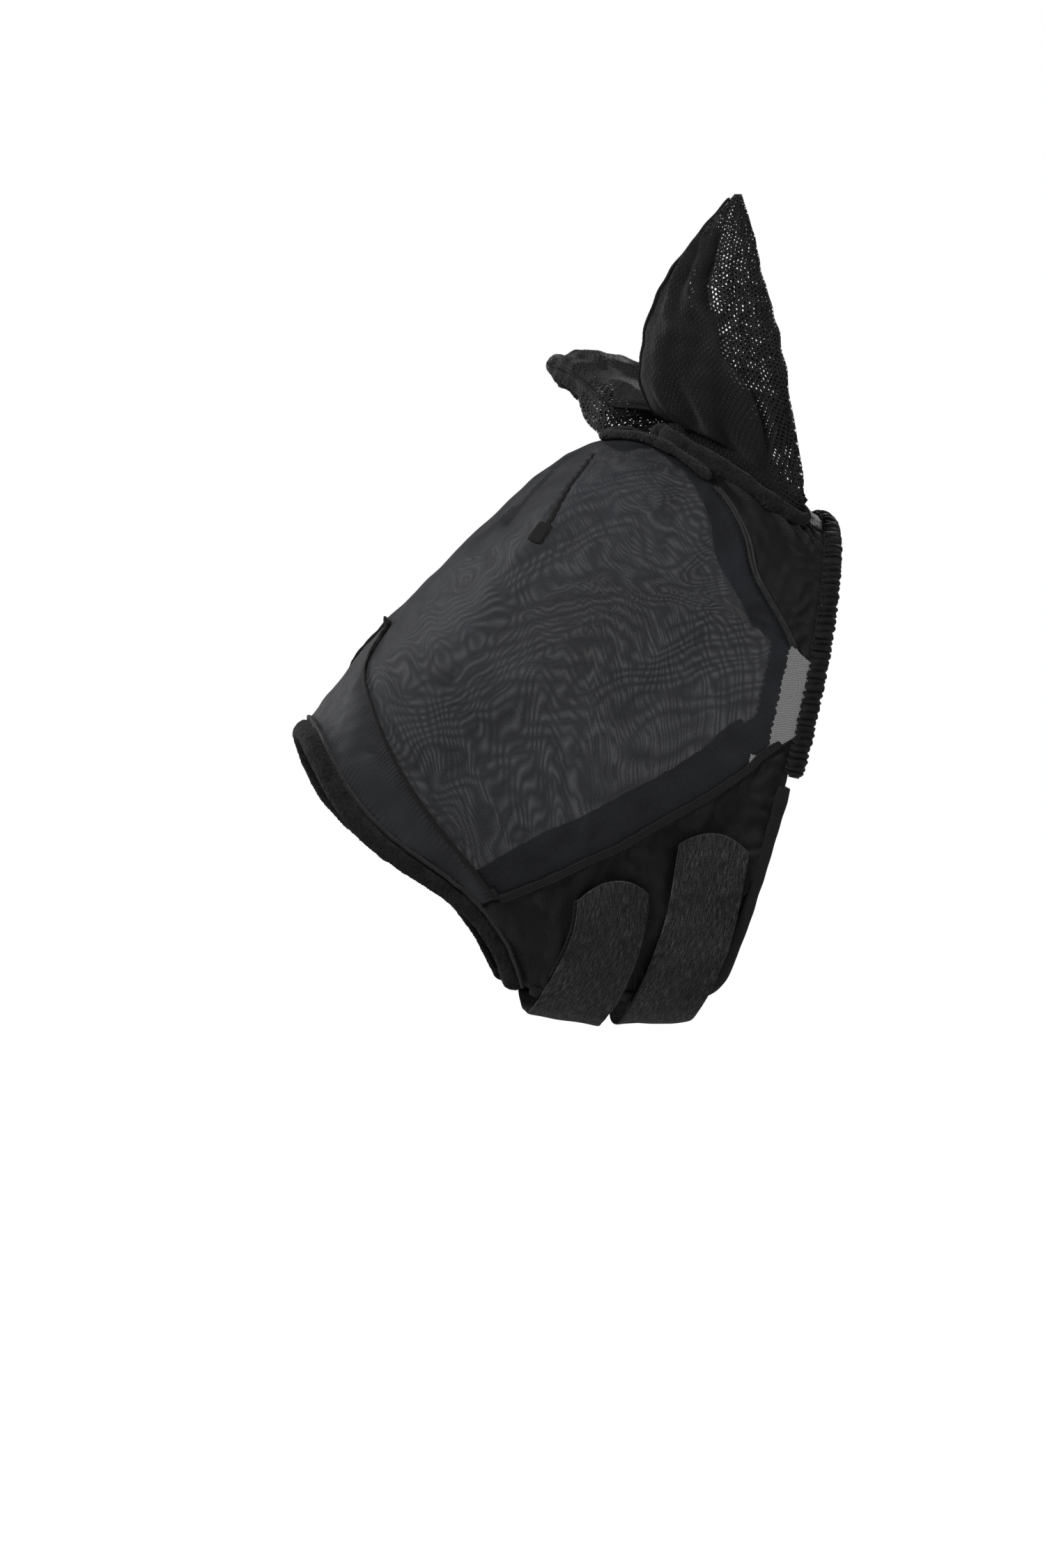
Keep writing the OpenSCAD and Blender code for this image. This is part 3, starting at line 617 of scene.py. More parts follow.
class Cloth:
    """A cloth material being built: its tree, shader, places along the cloth and in space, and the value from
    each piece's shape that sets painted shade in its creases and painted light on its folds."""

    def __init__(self, name, rough, sheen=0.3, sheen_rough=0.45, specular=0.25):
        self.material = bpy.data.materials.new(name)
        self.material.use_nodes = True
        self.tree = self.material.node_tree
        self.shader = self.tree.nodes["Principled BSDF"]
        values = {"Roughness": rough, "Sheen Weight": sheen, "Sheen Roughness": sheen_rough,
                  "Specular IOR Level": specular}
        for key, value in values.items():
            self.shader.inputs[key].default_value = value
        self.cloth = node(self.tree, "ShaderNodeUVMap", uv_map="cloth").outputs[0]
        self.space = node(self.tree, "ShaderNodeTexCoord").outputs["Object"]
        # per-point value for painted shade in creases and painted light on folds
        self.tone = node(self.tree, "ShaderNodeAttribute", attribute_name="tone").outputs["Fac"]

    def colour(self, socket, lint=0.35, lint_colour=(0.09, 0.088, 0.085)):
        """Adds lint to a colour and joins it to the shader."""
        speck = use(self.tree, "lint", {"Place": self.space, "Amount": lint})["Speck"]
        linty = blend_colour(self.tree, speck, socket, rgba(lint_colour))
        self.tree.links.new(linty, self.shader.inputs["Base Color"])
        return self

    def shaded(self, dark, light, pattern, crease=0.6):
        """A colour between dark and light by a pattern, with painted shade in creases and painted light on
        folds: it is scaled by each point's value from its shape, and crease sets how strong that is.
        """
        # painted shade and light: the colour is scaled down in creases and up on folds
        fold = remap(self.tree, self.tone, -1.0, 1.0, 1.0 - crease, 1.0 + crease * 0.6)
        c = blend_colour(self.tree, pattern, rgba(dark), rgba(light))
        return node(self.tree, "ShaderNodeVectorMath", {0: c, "Scale": fold}, operation="SCALE").outputs[0]

    def bumps(self, *layers):
        """Height patterns stacked as bumps, each with its depth in metres."""
        normal = None
        for height, depth in layers:
            n = node(self.tree, "ShaderNodeBump", {"Height": height, "Distance": depth})
            if normal is not None:
                self.tree.links.new(normal, n.inputs["Normal"])
            normal = n.outputs[0]
        self.tree.links.new(normal, self.shader.inputs["Normal"])
        return self

    def rough(self, value):
        self.tree.links.new(value, self.shader.inputs["Roughness"])
        return self

    def alpha(self, value):
        self.tree.links.new(value, self.shader.inputs["Alpha"])
        return self


# ---- Sizes, colours and stage settings ------------------------------------------------------------


def length_prop(name, text, value, low, high):
    """A size in millimetres shown in Blender's own length unit."""
    return bpy.props.FloatProperty(name=name, description=text, default=value * MM, min=low * MM,
        max=high * MM, unit="LENGTH", precision=4)


def colour_prop(name, text, value):
    return bpy.props.FloatVectorProperty(name=name, description=text, default=value, size=3, min=0, max=1,
        subtype="COLOR")


class FlyMaskSizes(bpy.types.PropertyGroup):
    net_pitch: length_prop("Net pitch", "Distance from one thread of the eye net to the next", 0.8, 0.6, 2)
    net_share: bpy.props.FloatProperty(name="Net thread share",
        description="Share of the pitch that a thread of the eye net covers", default=0.5, min=0.3, max=0.8,
        subtype="FACTOR")
    eye_room: length_prop("Eye room", "How far the net stands clear of each eye", 9, 4, 12)
    rib_pitch: length_prop("Rib pitch", "Distance between the knit ribs of the jaw and crown panels", 1.3,
        0.8, 2)
    hole_pitch: length_prop("Hole pitch", "Distance between the holes of the ear knit", 3.5, 2.5, 5)
    gather_pitch: length_prop("Gather pitch", "Distance between the gathers of the rear edge", 4.6, 3, 8)
    gather_depth: length_prop("Gather depth", "How deep the gathers of the rear edge are", 1.3, 0.5, 2)
    tuft: length_prop("Fleece tuft", "Size of the tufts of the fleece", 1.7, 1, 4)
    stitch_pitch: length_prop("Stitch pitch", "Distance from one stitch to the next", 3.4, 2.5, 5)
    strap_width: length_prop("Strap width", "Width of the two closing straps", 50, 45, 52)


class FlyMaskColours(bpy.types.PropertyGroup):
    net: colour_prop("Net", "Colour of the eye net", (0.012, 0.013, 0.017))
    face: colour_prop("Nose panel", "Colour of the smooth nose fabric", (0.026, 0.027, 0.031))
    fleece: colour_prop("Fleece", "Colour of the rolled fleece edges", (0.0095, 0.0095, 0.0105))
    knit: colour_prop("Knit", "Colour of the jaw and crown panels", (0.0085, 0.0085, 0.0095))
    ear: colour_prop("Ear knit", "Colour of the ear covers", (0.013, 0.0125, 0.014))
    tape: colour_prop("Tapes", "Colour of the bindings, seam tapes and piping", (0.009, 0.009, 0.0095))
    thread: colour_prop("Thread", "Colour of the sewing thread", (0.022, 0.022, 0.024))
    web_dark: colour_prop("Webbing yarn", "Dark yarn of the straps", (0.011, 0.011, 0.012))
    web_pale: colour_prop("Webbing fibres", "Pale fibres of the straps", (0.12, 0.12, 0.123))
    hook: colour_prop("Hook tape", "Colour of the hook and loop tapes", (0.013, 0.013, 0.014))
    elastic: colour_prop("Elastic", "Colour of the elastic in the rear edge", (0.75, 0.74, 0.71))


class FlyMaskStage(bpy.types.PropertyGroup):
    azimuth: bpy.props.FloatProperty(name="Azimuth",
        description="Direction that the camera looks from, in degrees round the mask", default=-8.0)
    elevation: bpy.props.FloatProperty(name="Elevation",
        description="Height of the camera above the horizon, in degrees", default=6.0)
    lens: bpy.props.FloatProperty(name="Lens", description="Focal length of the camera in millimetres",
        default=200.0, min=20, max=400)
    view_height: bpy.props.FloatProperty(name="View height",
        description="Height of what the camera sees at the mask", default=1.0714, unit="LENGTH")
    aim_across: bpy.props.FloatProperty(name="Aim across",
        description="How far to the right of the poll seat the camera aims", default=-0.1762, unit="LENGTH")
    aim_up: bpy.props.FloatProperty(name="Aim up", description="How far above the poll seat the camera aims",
        default=-0.1952, unit="LENGTH")
    floor_height: bpy.props.FloatProperty(name="Floor height", description="Height of the floor",
        default=-0.95, unit="LENGTH")
    floor_colour: colour_prop("Floor colour", "Colour of the plain floor", (0.6, 0.6, 0.6))
    surround: bpy.props.FloatProperty(name="Surround light",
        description="How strongly the white surroundings light the mask", default=0.07, min=0)
    key_light: bpy.props.FloatProperty(name="Key light",
        description="Power of the large soft light above and in front", default=34.0, min=0, unit="POWER")
    fill_light: bpy.props.FloatProperty(name="Fill light",
        description="Power of the soft light from behind the head", default=10.0, min=0, unit="POWER")
    rear_light: bpy.props.FloatProperty(name="Rear light",
        description="Power of the soft light behind the far side, and more than half of that in front of it",
        default=18.0, min=0, unit="POWER")


def sizes():
    return bpy.context.scene.fly_mask_sizes


def colours():
    return bpy.context.scene.fly_mask_colours


def mm(value):
    return value / MM


# ---- Finishes -------------------------------------------------------------------------------------


def net_finish(name, c, s):
    """Fine open net: threads on a square grid, see-through between them, with a soft sheen."""
    m = Cloth(name, 0.55, 0.06, 0.4, 0.3)
    n = 100 / mm(s.net_pitch)
    net = use(m.tree, "net", {"Place": m.cloth, "Threads": (n, n, 1.0), "Share": s.net_share})
    # painted light on the threads' tops and painted shade beside them, from the net's height
    m.colour(m.shaded(tuple(0.55 * v for v in c.net), tuple(1.7 * v for v in c.net), net["Height"], 0.5),
        0.12)
    m.bumps((net["Height"], 0.00016))
    facing = node(m.tree, "ShaderNodeLayerWeight", {"Blend": 0.5}).outputs["Facing"]
    edge_on = remap(m.tree, facing, 0.35, 0.95, 0.0, 0.97)
    return m.alpha(calc(m.tree, "MAXIMUM", remap(m.tree, net["Thread"], 0.0, 1.0, 0.58, 0.96), edge_on))


def face_finish(name, c, s):
    """Smooth close-woven fabric: a very fine weave under soft mottling, with painted shade between its
    threads and painted light on folds.
    """
    m = Cloth(name, 0.5, 0.12, 0.4, 0.3)
    weave = use(m.tree, "weave", {"Place": m.cloth, "Threads": (170.0, 150.0, 1.0)})
    mottle = noise(m.tree, m.space, 38.0, 4.0, 0.6)
    grain = noise(m.tree, m.space, 420.0, 2.0, 0.6)
    both = calc(m.tree, "MULTIPLY_ADD", weave["Height"], 0.4, calc(m.tree, "MULTIPLY", mottle, 0.6))
    # painted shade between the weave's threads; the mottling is uneven tone of the cloth
    m.colour(m.shaded(tuple(0.62 * v for v in c.face), tuple(1.5 * v for v in c.face), both, 0.35), 0.3)
    m.bumps((mottle, 0.0007), (grain, 0.00025), (weave["Height"], 0.00008))
    return m.rough(remap(m.tree, grain, 0.3, 0.7, 0.42, 0.62))


def fleece_finish(name, c, s):
    """Short fleece: tufts of noise with painted shade in their hollows and a soft, wide sheen."""
    m = Cloth(name, 0.95, 0.12, 0.6, 0.08)
    nap = use(m.tree, "nap", {"Place": m.space, "Tuft": s.tuft})
    # painted shade: the fleece is darker where the nap is low and lighter on its tufts
    pale = calc(m.tree, "SUBTRACT", 1.0, nap["Hollow Shade"])
    m.colour(m.shaded(tuple(0.3 * v for v in c.fleece), tuple(1.9 * v for v in c.fleece), pale, 0.7), 0.5)
    fine = noise(m.tree, m.space, 1400.0, 2.0, 0.6)
    return m.bumps((nap["Height"], 0.0024), (fine, 0.0004))


def knit_finish(name, c, s):
    """Warp knit: fine ribs of slanting loops, with painted shade in their grooves."""
    m = Cloth(name, 0.66, 0.08, 0.45, 0.22)
    n = 100 / mm(s.rib_pitch)
    rib = use(m.tree, "ribs", {"Place": m.cloth, "Threads": (n, 0.9 * n, 1.0)})
    # painted shade in the grooves between ribs and painted light on their tops, from the rib height
    m.colour(m.shaded(tuple(0.35 * v for v in c.knit), tuple(1.6 * v for v in c.knit), rib["Height"], 0.8),
        0.3)
    soft = noise(m.tree, m.space, 60.0, 3.0)
    m.bumps((soft, 0.0008), (rib["Height"], 0.0003))
    return m.rough(remap(m.tree, rib["Groove"], 0.0, 1.0, 0.48, 0.8))


def ear_finish(name, c, s):
    """Soft ear knit: rows of small round holes through fine ribs, each hole with a raised rim."""
    m = Cloth(name, 0.65, 0.12, 0.45, 0.25)
    n = 100 / mm(s.hole_pitch)
    holes = use(m.tree, "holes", {"Place": m.cloth, "Holes": (n, n * 1.15, 1.0), "Radius": 0.29})
    shut = remap(m.tree, m.tone, 0.15, -0.45, 0.0, 0.95)
    rib = use(m.tree, "ribs", {"Place": m.cloth, "Threads": (110.0, 90.0, 1.0)})
    both = calc(m.tree, "MULTIPLY_ADD", holes["Rim"], 0.5, calc(m.tree, "MULTIPLY", rib["Height"], 0.6))
    # painted light on the raised hole rims and rib tops, with painted shade between them
    m.colour(m.shaded(tuple(0.4 * v for v in c.ear), tuple(2.0 * v for v in c.ear), both, 0.75), 0.3)
    m.bumps((holes["Rim"], 0.0005), (rib["Height"], 0.00022))
    return m.alpha(calc(m.tree, "MAXIMUM", holes["Cloth"], shut))


def tape_finish(name, c, s):
    """Woven tape: a close weave with faint cross lines."""
    m = Cloth(name, 0.62, 0.06, 0.4, 0.25)
    weave = use(m.tree, "weave", {"Place": m.cloth, "Threads": (140.0, 90.0, 1.0)})
    # painted shade between the weave's threads and painted light on their tops
    m.colour(m.shaded(tuple(0.4 * v for v in c.tape), tuple(1.9 * v for v in c.tape), weave["Height"], 0.6),
        0.45)
    soft = noise(m.tree, m.space, 90.0, 3.0)
    return m.bumps((soft, 0.0006), (weave["Height"], 0.00022))


def piping_finish(name, c, s):
    """Cord covered in smooth bias cloth: a slanting fine weave with a clear highlight."""
    m = Cloth(name, 0.4, 0.1, 0.35, 0.45)
    turned = node(m.tree, "ShaderNodeMapping", {"Vector": m.cloth, "Rotation": (0.0, 0.0, 0.785)}).outputs[0]
    weave = use(m.tree, "weave", {"Place": turned, "Threads": (150.0, 150.0, 1.0)})
    # painted shade between the slanting weave's threads and painted light on their tops
    m.colour(m.shaded(tuple(0.6 * v for v in c.tape), tuple(2.2 * v for v in c.tape), weave["Height"], 0.4),
        0.3)
    return m.bumps((noise(m.tree, m.space, 160.0, 2.0), 0.0005), (weave["Height"], 0.00015))


def thread_finish(name, c, s):
    """Sewing thread: twisted fibres seen as slanting stripes."""
    m = Cloth(name, 0.5, 0.1, 0.4, 0.35)
    twist = node(m.tree, "ShaderNodeTexWave", {"Vector": m.space, "Scale": 900.0, "Distortion": 1.0})
    twist = twist.outputs["Fac"]
    # painted shade in the grooves of the twist, seen as slanting stripes
    m.colour(m.shaded(tuple(0.6 * v for v in c.thread), tuple(1.5 * v for v in c.thread), twist, 0.2), 0.0)
    return m.bumps((twist, 0.0001))


def web_finish(name, c, s):
    """Brushed heather webbing: pale fibres streaked along dark yarn, over a ribbed weave."""
    m = Cloth(name, 0.85, 0.12, 0.55, 0.12)
    hair = use(m.tree, "fibres", {"Place": m.cloth})
    rib = use(m.tree, "weave", {"Place": m.cloth, "Threads": (75.0, 55.0, 1.0)})
    m.colour(m.shaded(tuple(c.web_dark), tuple(c.web_pale), hair["Pale"], 0.5), 0.4)
    fuzz = noise(m.tree, m.space, 900.0, 3.0, 0.7)
    return m.bumps((rib["Height"], 0.0004), (hair["Height"], 0.0003), (fuzz, 0.0003))


def hook_finish(name, c, s):
    """Hook tape: a dense field of tiny stiff hooks, seen as fine hard-edged points."""
    m = Cloth(name, 0.45, 0.05, 0.5, 0.5)
    values = {"Vector": scaled(m.tree, m.cloth, (85.0, 85.0, 1.0)), "Scale": 1.0, "Randomness": 0.35}
    spot = node(m.tree, "ShaderNodeTexVoronoi", values).outputs["Distance"]
    up = remap(m.tree, spot, 0.5, 0.1)
    # painted highlight on the hook tops, from the same points that raise them
    m.colour(m.shaded(tuple(0.4 * v for v in c.hook), tuple(2.4 * v for v in c.hook), up, 0.3), 0.6)
    return m.bumps((up, 0.0006))


def loop_finish(name, c, s):
    """Brushed loop tape: matted loops over a flat weave."""
    m = Cloth(name, 0.92, 0.08, 0.6, 0.08)
    nap = use(m.tree, "nap", {"Place": m.space, "Tuft": 0.0011})
    # painted shade where the loops are low and painted light where they are high
    m.colour(m.shaded(tuple(0.5 * v for v in c.hook), tuple(1.9 * v for v in c.hook), nap["Height"], 0.3),
        0.8)
    return m.bumps((nap["Height"], 0.0012))


def elastic_finish(name, c, s):
    """Covered elastic: close ribs across a pale tape."""
    m = Cloth(name, 0.7, 0.2, 0.5, 0.2)
    ribs = node(m.tree, "ShaderNodeTexWave", {"Vector": m.space, "Scale": 300.0, "Distortion": 0.4})
    ribs = ribs.outputs["Fac"]
    # painted shade between the ribs
    m.colour(m.shaded(tuple(0.8 * v for v in c.elastic), tuple(c.elastic), ribs, 0.1), 0.0)
    return m.bumps((ribs, 0.0003))


FINISHES = {
    "eye_mesh_net": net_finish, "smooth_face_fabric": face_finish, "fleece": fleece_finish,
    "knit": knit_finish,
    "ear_knit": ear_finish, "binding_tape": tape_finish, "seam_tape": tape_finish, "piping": piping_finish,
    "thread": thread_finish, "webbing": web_finish, "hook_tape": hook_finish, "loop_tape": loop_finish,
    "elastic": elastic_finish,
}
MADE = {}


def finish(name):
    """The material of a finish, made once."""
    if not GROUPS:
        make_groups()
    if name not in MADE:
        MADE[name] = FINISHES[name](name, colours(), sizes()).material
    return MADE[name]


def place_piece(obj, body, slot, *nodes):
    """Puts a piece on its body, with the frame nodes that it stands for. slot is not used."""
    if body is not None:
        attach(obj, body)
    if nodes:
        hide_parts(*nodes)
    return obj


# ---- Eye net and darts ----------------------------------------------------------------------------


def dart_line(side, steps=60):
    """The dart's sewn line: from the front edge of the crown down towards the eye."""
    f = np.linspace(0, 1, steps)
    return mix(0.602, 0.478, f), side * mix(0.04, 0.172, f)


def dart_off(u, t):
    """How far a place on the form is from the dart, in millimetres across and past its point."""
    du, dt = dart_line(1)
    p, q = form(du, dt), form(u, np.abs(t))
    q[..., 1] = -np.abs(q[..., 1])
    d = np.linalg.norm(q[..., None, :] - p[:: 6], axis=-1)
    return d.min(-1)


def net_back(t):
    """Rear edge of the net: the crown seam, and below the crown panels the gathered rear edge."""
    back = mesh_back(t)
    return mix(back + 0.004, np.maximum(back, 0.988), smooth((np.abs(t) - 0.35) / 0.02))


def net_relief(u, t):
    """Height of the net over the form: the hollow over the eye, the valley of the dart, a pucker
    that runs on from its point, pulls from the jaw seam and soft slack."""
    a = np.abs(t)
    h = dome(u, t, mm(sizes().eye_room))
    d = dart_off(u, t)
    h = h - 1.3 * bump(d, 3.2) + 0.5 * bump(d - 6, 3.5)
    p = form(u, t)
    start, end = (form(np.array(a), np.array(b)) * [1, 0, 1] for a, b in ((0.478, 0.172), (0.358, 0.152)))
    way = unit(end - start)
    pull = p * [1, 0, 1] - start
    along, off = pull @ way, pull @ np.array([-way[2], 0, way[0]])
    rise = 1.5 * bump(off - 0.1 * along, 3.4 + 0.06 * np.abs(along)) * smooth(along / 12)
    h = h + rise * smooth((95 - along) / 70)
    dip = 1.0 * bump(off - 9 - 0.13 * along, 5 + 0.06 * np.abs(along)) * smooth(along / 14)
    h = h - dip * smooth((80 - along) / 60)
    seam = (jaw_line(u) - a) * 250
    h = h + 0.55 * np.sin(p[..., 0] / 6.4 + waves(p, 60, 5) * 1.6) * bump(seam, 26) * smooth((0.62 - u) / 0.1)
    back = (mesh_back(t) - u) * U_LONG
    h = h + 0.7 * np.sin(p[..., 2] / 7.5 + waves(p, 45, 8) * 1.3) * bump(back, 18) * smooth((a - 0.08) / 0.05)
    h = h + 1.2 * waves(p, 66, 21) * smooth(seam / 30) + 0.35 * waves(p, 24, 4)
    h = h + 0.8 * (ridge(p, 55, 22) - 0.4) * smooth(seam / 25) * smooth((u - 0.42) / 0.2)
    return h


class FlyMaskNet(bpy.types.Operator):
    """Eye net: one open-edged sheet drawn over the form between the seams. Its height is the sum
    of the eye hollow, the dart valley, its pucker, pull lines at the seams and slow slack waves"""
    bl_idname = "fly_mask.net"
    bl_label = "Eye net"

    def execute(self, context):
        rows, cols = 300, 620
        x = np.linspace(-1, 1, cols)
        f = np.linspace(0, 1, rows)[:, None]
        t = np.broadcast_to(x * 0.6, (rows, cols)).copy()
        front = nose_back(t)
        back = mesh_back(t)
        u = mix(front - 0.004, back + 0.004, f)
        t = np.sign(t) * np.abs(t) / 0.6 * (jaw_line(u) + 0.004)
        u = mix(nose_back(t) - 0.004, net_back(t), f)
        h = 1.0 + net_relief(u, t)
        edge = np.minimum(np.minimum((u - nose_back(t)) * U_LONG, (mesh_back(t) - u) * U_LONG),
            (jaw_line(u) - np.abs(t)) * 250)
        h = mix(0.4 + 0 * h, h, smooth(edge / 9))
        p = skin(u, t, h)
        # painted shade in the net's creases and painted light on its folds, from its relief without the eye
        # hollow
        crease = np.clip(net_relief(u, t) - dome(u, t, mm(sizes().eye_room)), -1, 1) * 0.5
        shape = Shape().grid(p, out=outward(u, t), uv=cloth_uv(p, False), tone=crease)
        obj = shape.make("eye_net", finish("eye_mesh_net"))
        place_piece(obj, "mask", "eye_mesh_net", "eye_mesh")
        smooth_net = skin(u, t, 1.0 + dome(u, t, mm(sizes().eye_room)))
        return {"FINISHED"}


class FlyMaskDarts(bpy.types.Operator):
    """Darts: a sewn ridge down each side of the forehead net, half round and 2 mm wide, with
    stitches on it and a small folded tail at its point"""
    bl_idname = "fly_mask.darts"
    bl_label = "Darts"

    def execute(self, context):
        for side, name in ((1, "near"), (-1, "off")):
            u, t = dart_line(side)
            h = 1.4 + net_relief(u, t)
            p, ups = on_skin(u, t, h)
            p, ups, s = even(p, ups, 1.2)
            tape = Shape()
            swell = np.ones((len(p), 14)) * np.clip(0.4 + s / 30, 0.4, 1)[:, None]
            r = tube(p, ups, 2.2, 1.2, 14, swell=swell)
            tape.grid(r, wrap=True, caps=True)
            tail_u, tail_t = u[-1] - np.linspace(0.0, 0.03, 14), t[-1] + side * np.linspace(-0.004, 0.016, 14)
            q, qu = on_skin(tail_u, tail_t, 1.6 + net_relief(tail_u, tail_t))
            q, qu, x = even(q, qu, 1.0)
            r = tube(q, qu, 5.6, 0.8, 20, square=0.5, swell=ended(20, x, x[-1], 1.0))
            tape.grid(r, wrap=True, caps=True, tone=-0.5)
            obj = tape.make("dart_ridge_" + name, finish("seam_tape"))
            place_piece(obj, "mask", "seam_tape", "forehead_dart_" + name)
            line = stitches(Shape(), p + ups * 0.75, ups, mm(sizes().stitch_pitch), 2.6, 0.45)
            line = line.make("dart_stitches_" + name, finish("thread"))
            place_piece(line, "mask", "seam_tape")
        return {"FINISHED"}


# ---- Nose panel -----------------------------------------------------------------------------------


def nose_grid(rows, cols):
    """Places over the nose panel: rows from the nose edge to its back seam, columns round it."""
    x = np.linspace(-1, 1, cols)
    t = np.broadcast_to(x * 0.593, (rows, cols))
    f = np.linspace(0, 1, rows)[:, None]
    u = mix(0.012, nose_back(t) - 0.001, f)
    return u, t, f


class FlyMaskNosePanel(bpy.types.Operator):
    """Nose panel: smooth cloth 1.4 mm thick, with short puckers along its back seam, soft rolls
    across it and a shallow hollow where it turns under the jaw"""
    bl_idname = "fly_mask.nose_panel"
    bl_label = "Nose panel"

    def execute(self, context):
        u, t, _ = nose_grid(90, 560)
        p = form(u, t)
        s = t * 1000
        back = (nose_back(t) - u) * U_LONG
        pucker = 0.4 * np.sin(s / 1.15 + waves(p, 26, 3) * 1.5) * bump(back, 9)
        pucker = pucker * smooth((np.abs(t) - 0.02) / 0.05)
        front = 0.35 * np.sin(s / 1.7 + waves(p, 30, 9) * 1.6) * bump(u * U_LONG, 12)
        roll = 0.8 * waves(p, 46, 12) * smooth(back / 12) * smooth(u * U_LONG / 14) + 0.25 * waves(p, 15, 17)
        h = 1.6 + np.maximum(pucker + front + roll, -0.9)
        # painted shade in the puckers' and rolls' hollows and painted light on their ridges
        tone = np.clip((pucker + front) * 1.2 + roll * 0.25, -1, 1)
        obj = Shape().slab(skin(u, t, h), skin(u, t, 0.2 + 0 * h), tone=tone)
        obj = obj.make("nose_panel_cloth", finish("smooth_face_fabric"))
        place_piece(obj, "mask", "smooth_face_fabric", "nose_panel")
        return {"FINISHED"}


class FlyMaskNoseEdge(bpy.types.Operator):
    """Nose edge: the corded fold along the panel's back seam, with the small fin that stands up on
    the centreline and its cross-stitched ends, the rolled fleece and the piping beside it"""
    bl_idname = "fly_mask.nose_edge"
    bl_label = "Nose edge"

    def execute(self, context):
        t = np.linspace(-0.585, 0.585, 700)
        u = nose_back(t)
        p, ups = on_skin(u, t, 2.6)
        p, ups, s = even(p, ups, 0.9)
        mid = s - s[-1] / 2
        fin = bump(mid, 5.0)
        high = 0.8 + 2.6 * fin + 0.12 * waves(p, 9, 2)
        r = tube(p + ups * (1.6 * fin)[:, None], ups, 1.5 - 0.4 * fin, high, 16)
        tape = Shape().grid(r, wrap=True, caps=True)
        for sign in (-1, 1):
            u2 = np.full(20, float(nose_back(0.58))) + np.linspace(-0.004, 0.024, 20)
            q, qu = on_skin(u2, np.full(20, sign * 0.583), 2.2)
            q, qu, x = even(q, qu, 0.8)
            r = tube(q, qu, 4.2, 0.8, 20, square=0.5, swell=ended(20, x, x[-1], 0.8))
            tape.grid(r, wrap=True, caps=True, tone=0.2)
        place_piece(tape.make("nose_panel_cord", finish("seam_tape")), "mask", "seam_tape", "nose_panel_tape")

        line = Shape()
        for gap in (3.0, -2.2):
            v = step_u(nose_back(t), t, gap)
            q, qu = on_skin(v, t, 1.7 if gap > 0 else 1.9)
            q, qu, _ = even(q, qu, 0.8)
            stitches(line, q, qu, mm(sizes().stitch_pitch), 2.5, 0.42)
        for sign in (-1, 1):
            for k in range(3):
                u3 = nose_back(0.58) + 0.002 + 0.008 * k + np.linspace(0, 0.006, 8)
                q, qu = on_skin(u3, sign * np.linspace(0.576, 0.59, 8), 3.1)
                stitches(line, q, qu, 2.6, 2.2, 0.5)
        place_piece(line.make("nose_stitches", finish("thread")), "mask", "seam_tape")

        t = np.sign(np.linspace(-1, 1, 900)) * np.abs(np.linspace(-1, 1, 900)) * (JAW_EDGE_T + 0.01)
        p, ups = on_skin(np.zeros(900), t, 1.0)
        p, ups, s = even(p, ups, 0.8)
        fat = 1 + 0.03 * waves(p, 30, 31) + 0.015 * waves(p, 9, 32)
        r = tube(p, ups, 7.0, 5.2, 40, square=0.92, swell=ended(40, s, s[-1], 5) * fat[:, None])
        r = nap(r, 0.28, 2.6, 33)
        obj = Shape().grid(r, wrap=True, caps=True, tone=np.zeros(r.shape[:2])).make("nose_fleece_roll",
            finish("fleece"))
        place_piece(obj, "mask", "fleece", "nose_binding")

        t = np.linspace(-1, 1, 900) * (JAW_EDGE_T - 0.03)
        u = step_u(np.zeros(900), t, 9.8)
        p, ups = on_skin(u, t, 2.9)
        p, ups, s = even(p, ups, 0.9)
        p = p + ups * (0.25 * waves(p, 14, 41))[:, None]
        obj = Shape().grid(tube(p, ups, 1.4, 1.5, 16, swell=ended(16, s, s[-1], 2)), wrap=True, caps=True)
        place_piece(obj.make("nose_piping_cord", finish("piping")), "mask", "piping", "nose_piping")
        line = Shape()
        for gap, high in ((12.0, 1.9), (7.9, 2.4)):
            q, qu = on_skin(step_u(np.zeros(900), t, gap), t, high)
            q, qu, _ = even(q, qu, 0.8)
            stitches(line, q, qu, mm(sizes().stitch_pitch), 2.5, 0.4)
        place_piece(line.make("nose_piping_stitches", finish("thread")), "mask", "piping")
        return {"FINISHED"}


# ---- Fleece band and cuffs ------------------------------------------------------------------------


def nap(rings, depth, size, seed):
    """Tufts on a roll: each point moves out from its ring's middle by sharp-topped noise."""
    mid = rings.mean(1, keepdims=True)
    rise = depth * (ridge(rings, size, seed) + 0.5 * waves(rings, size * 0.45, seed + 1))
    return rings + unit(rings - mid) * rise[..., None]


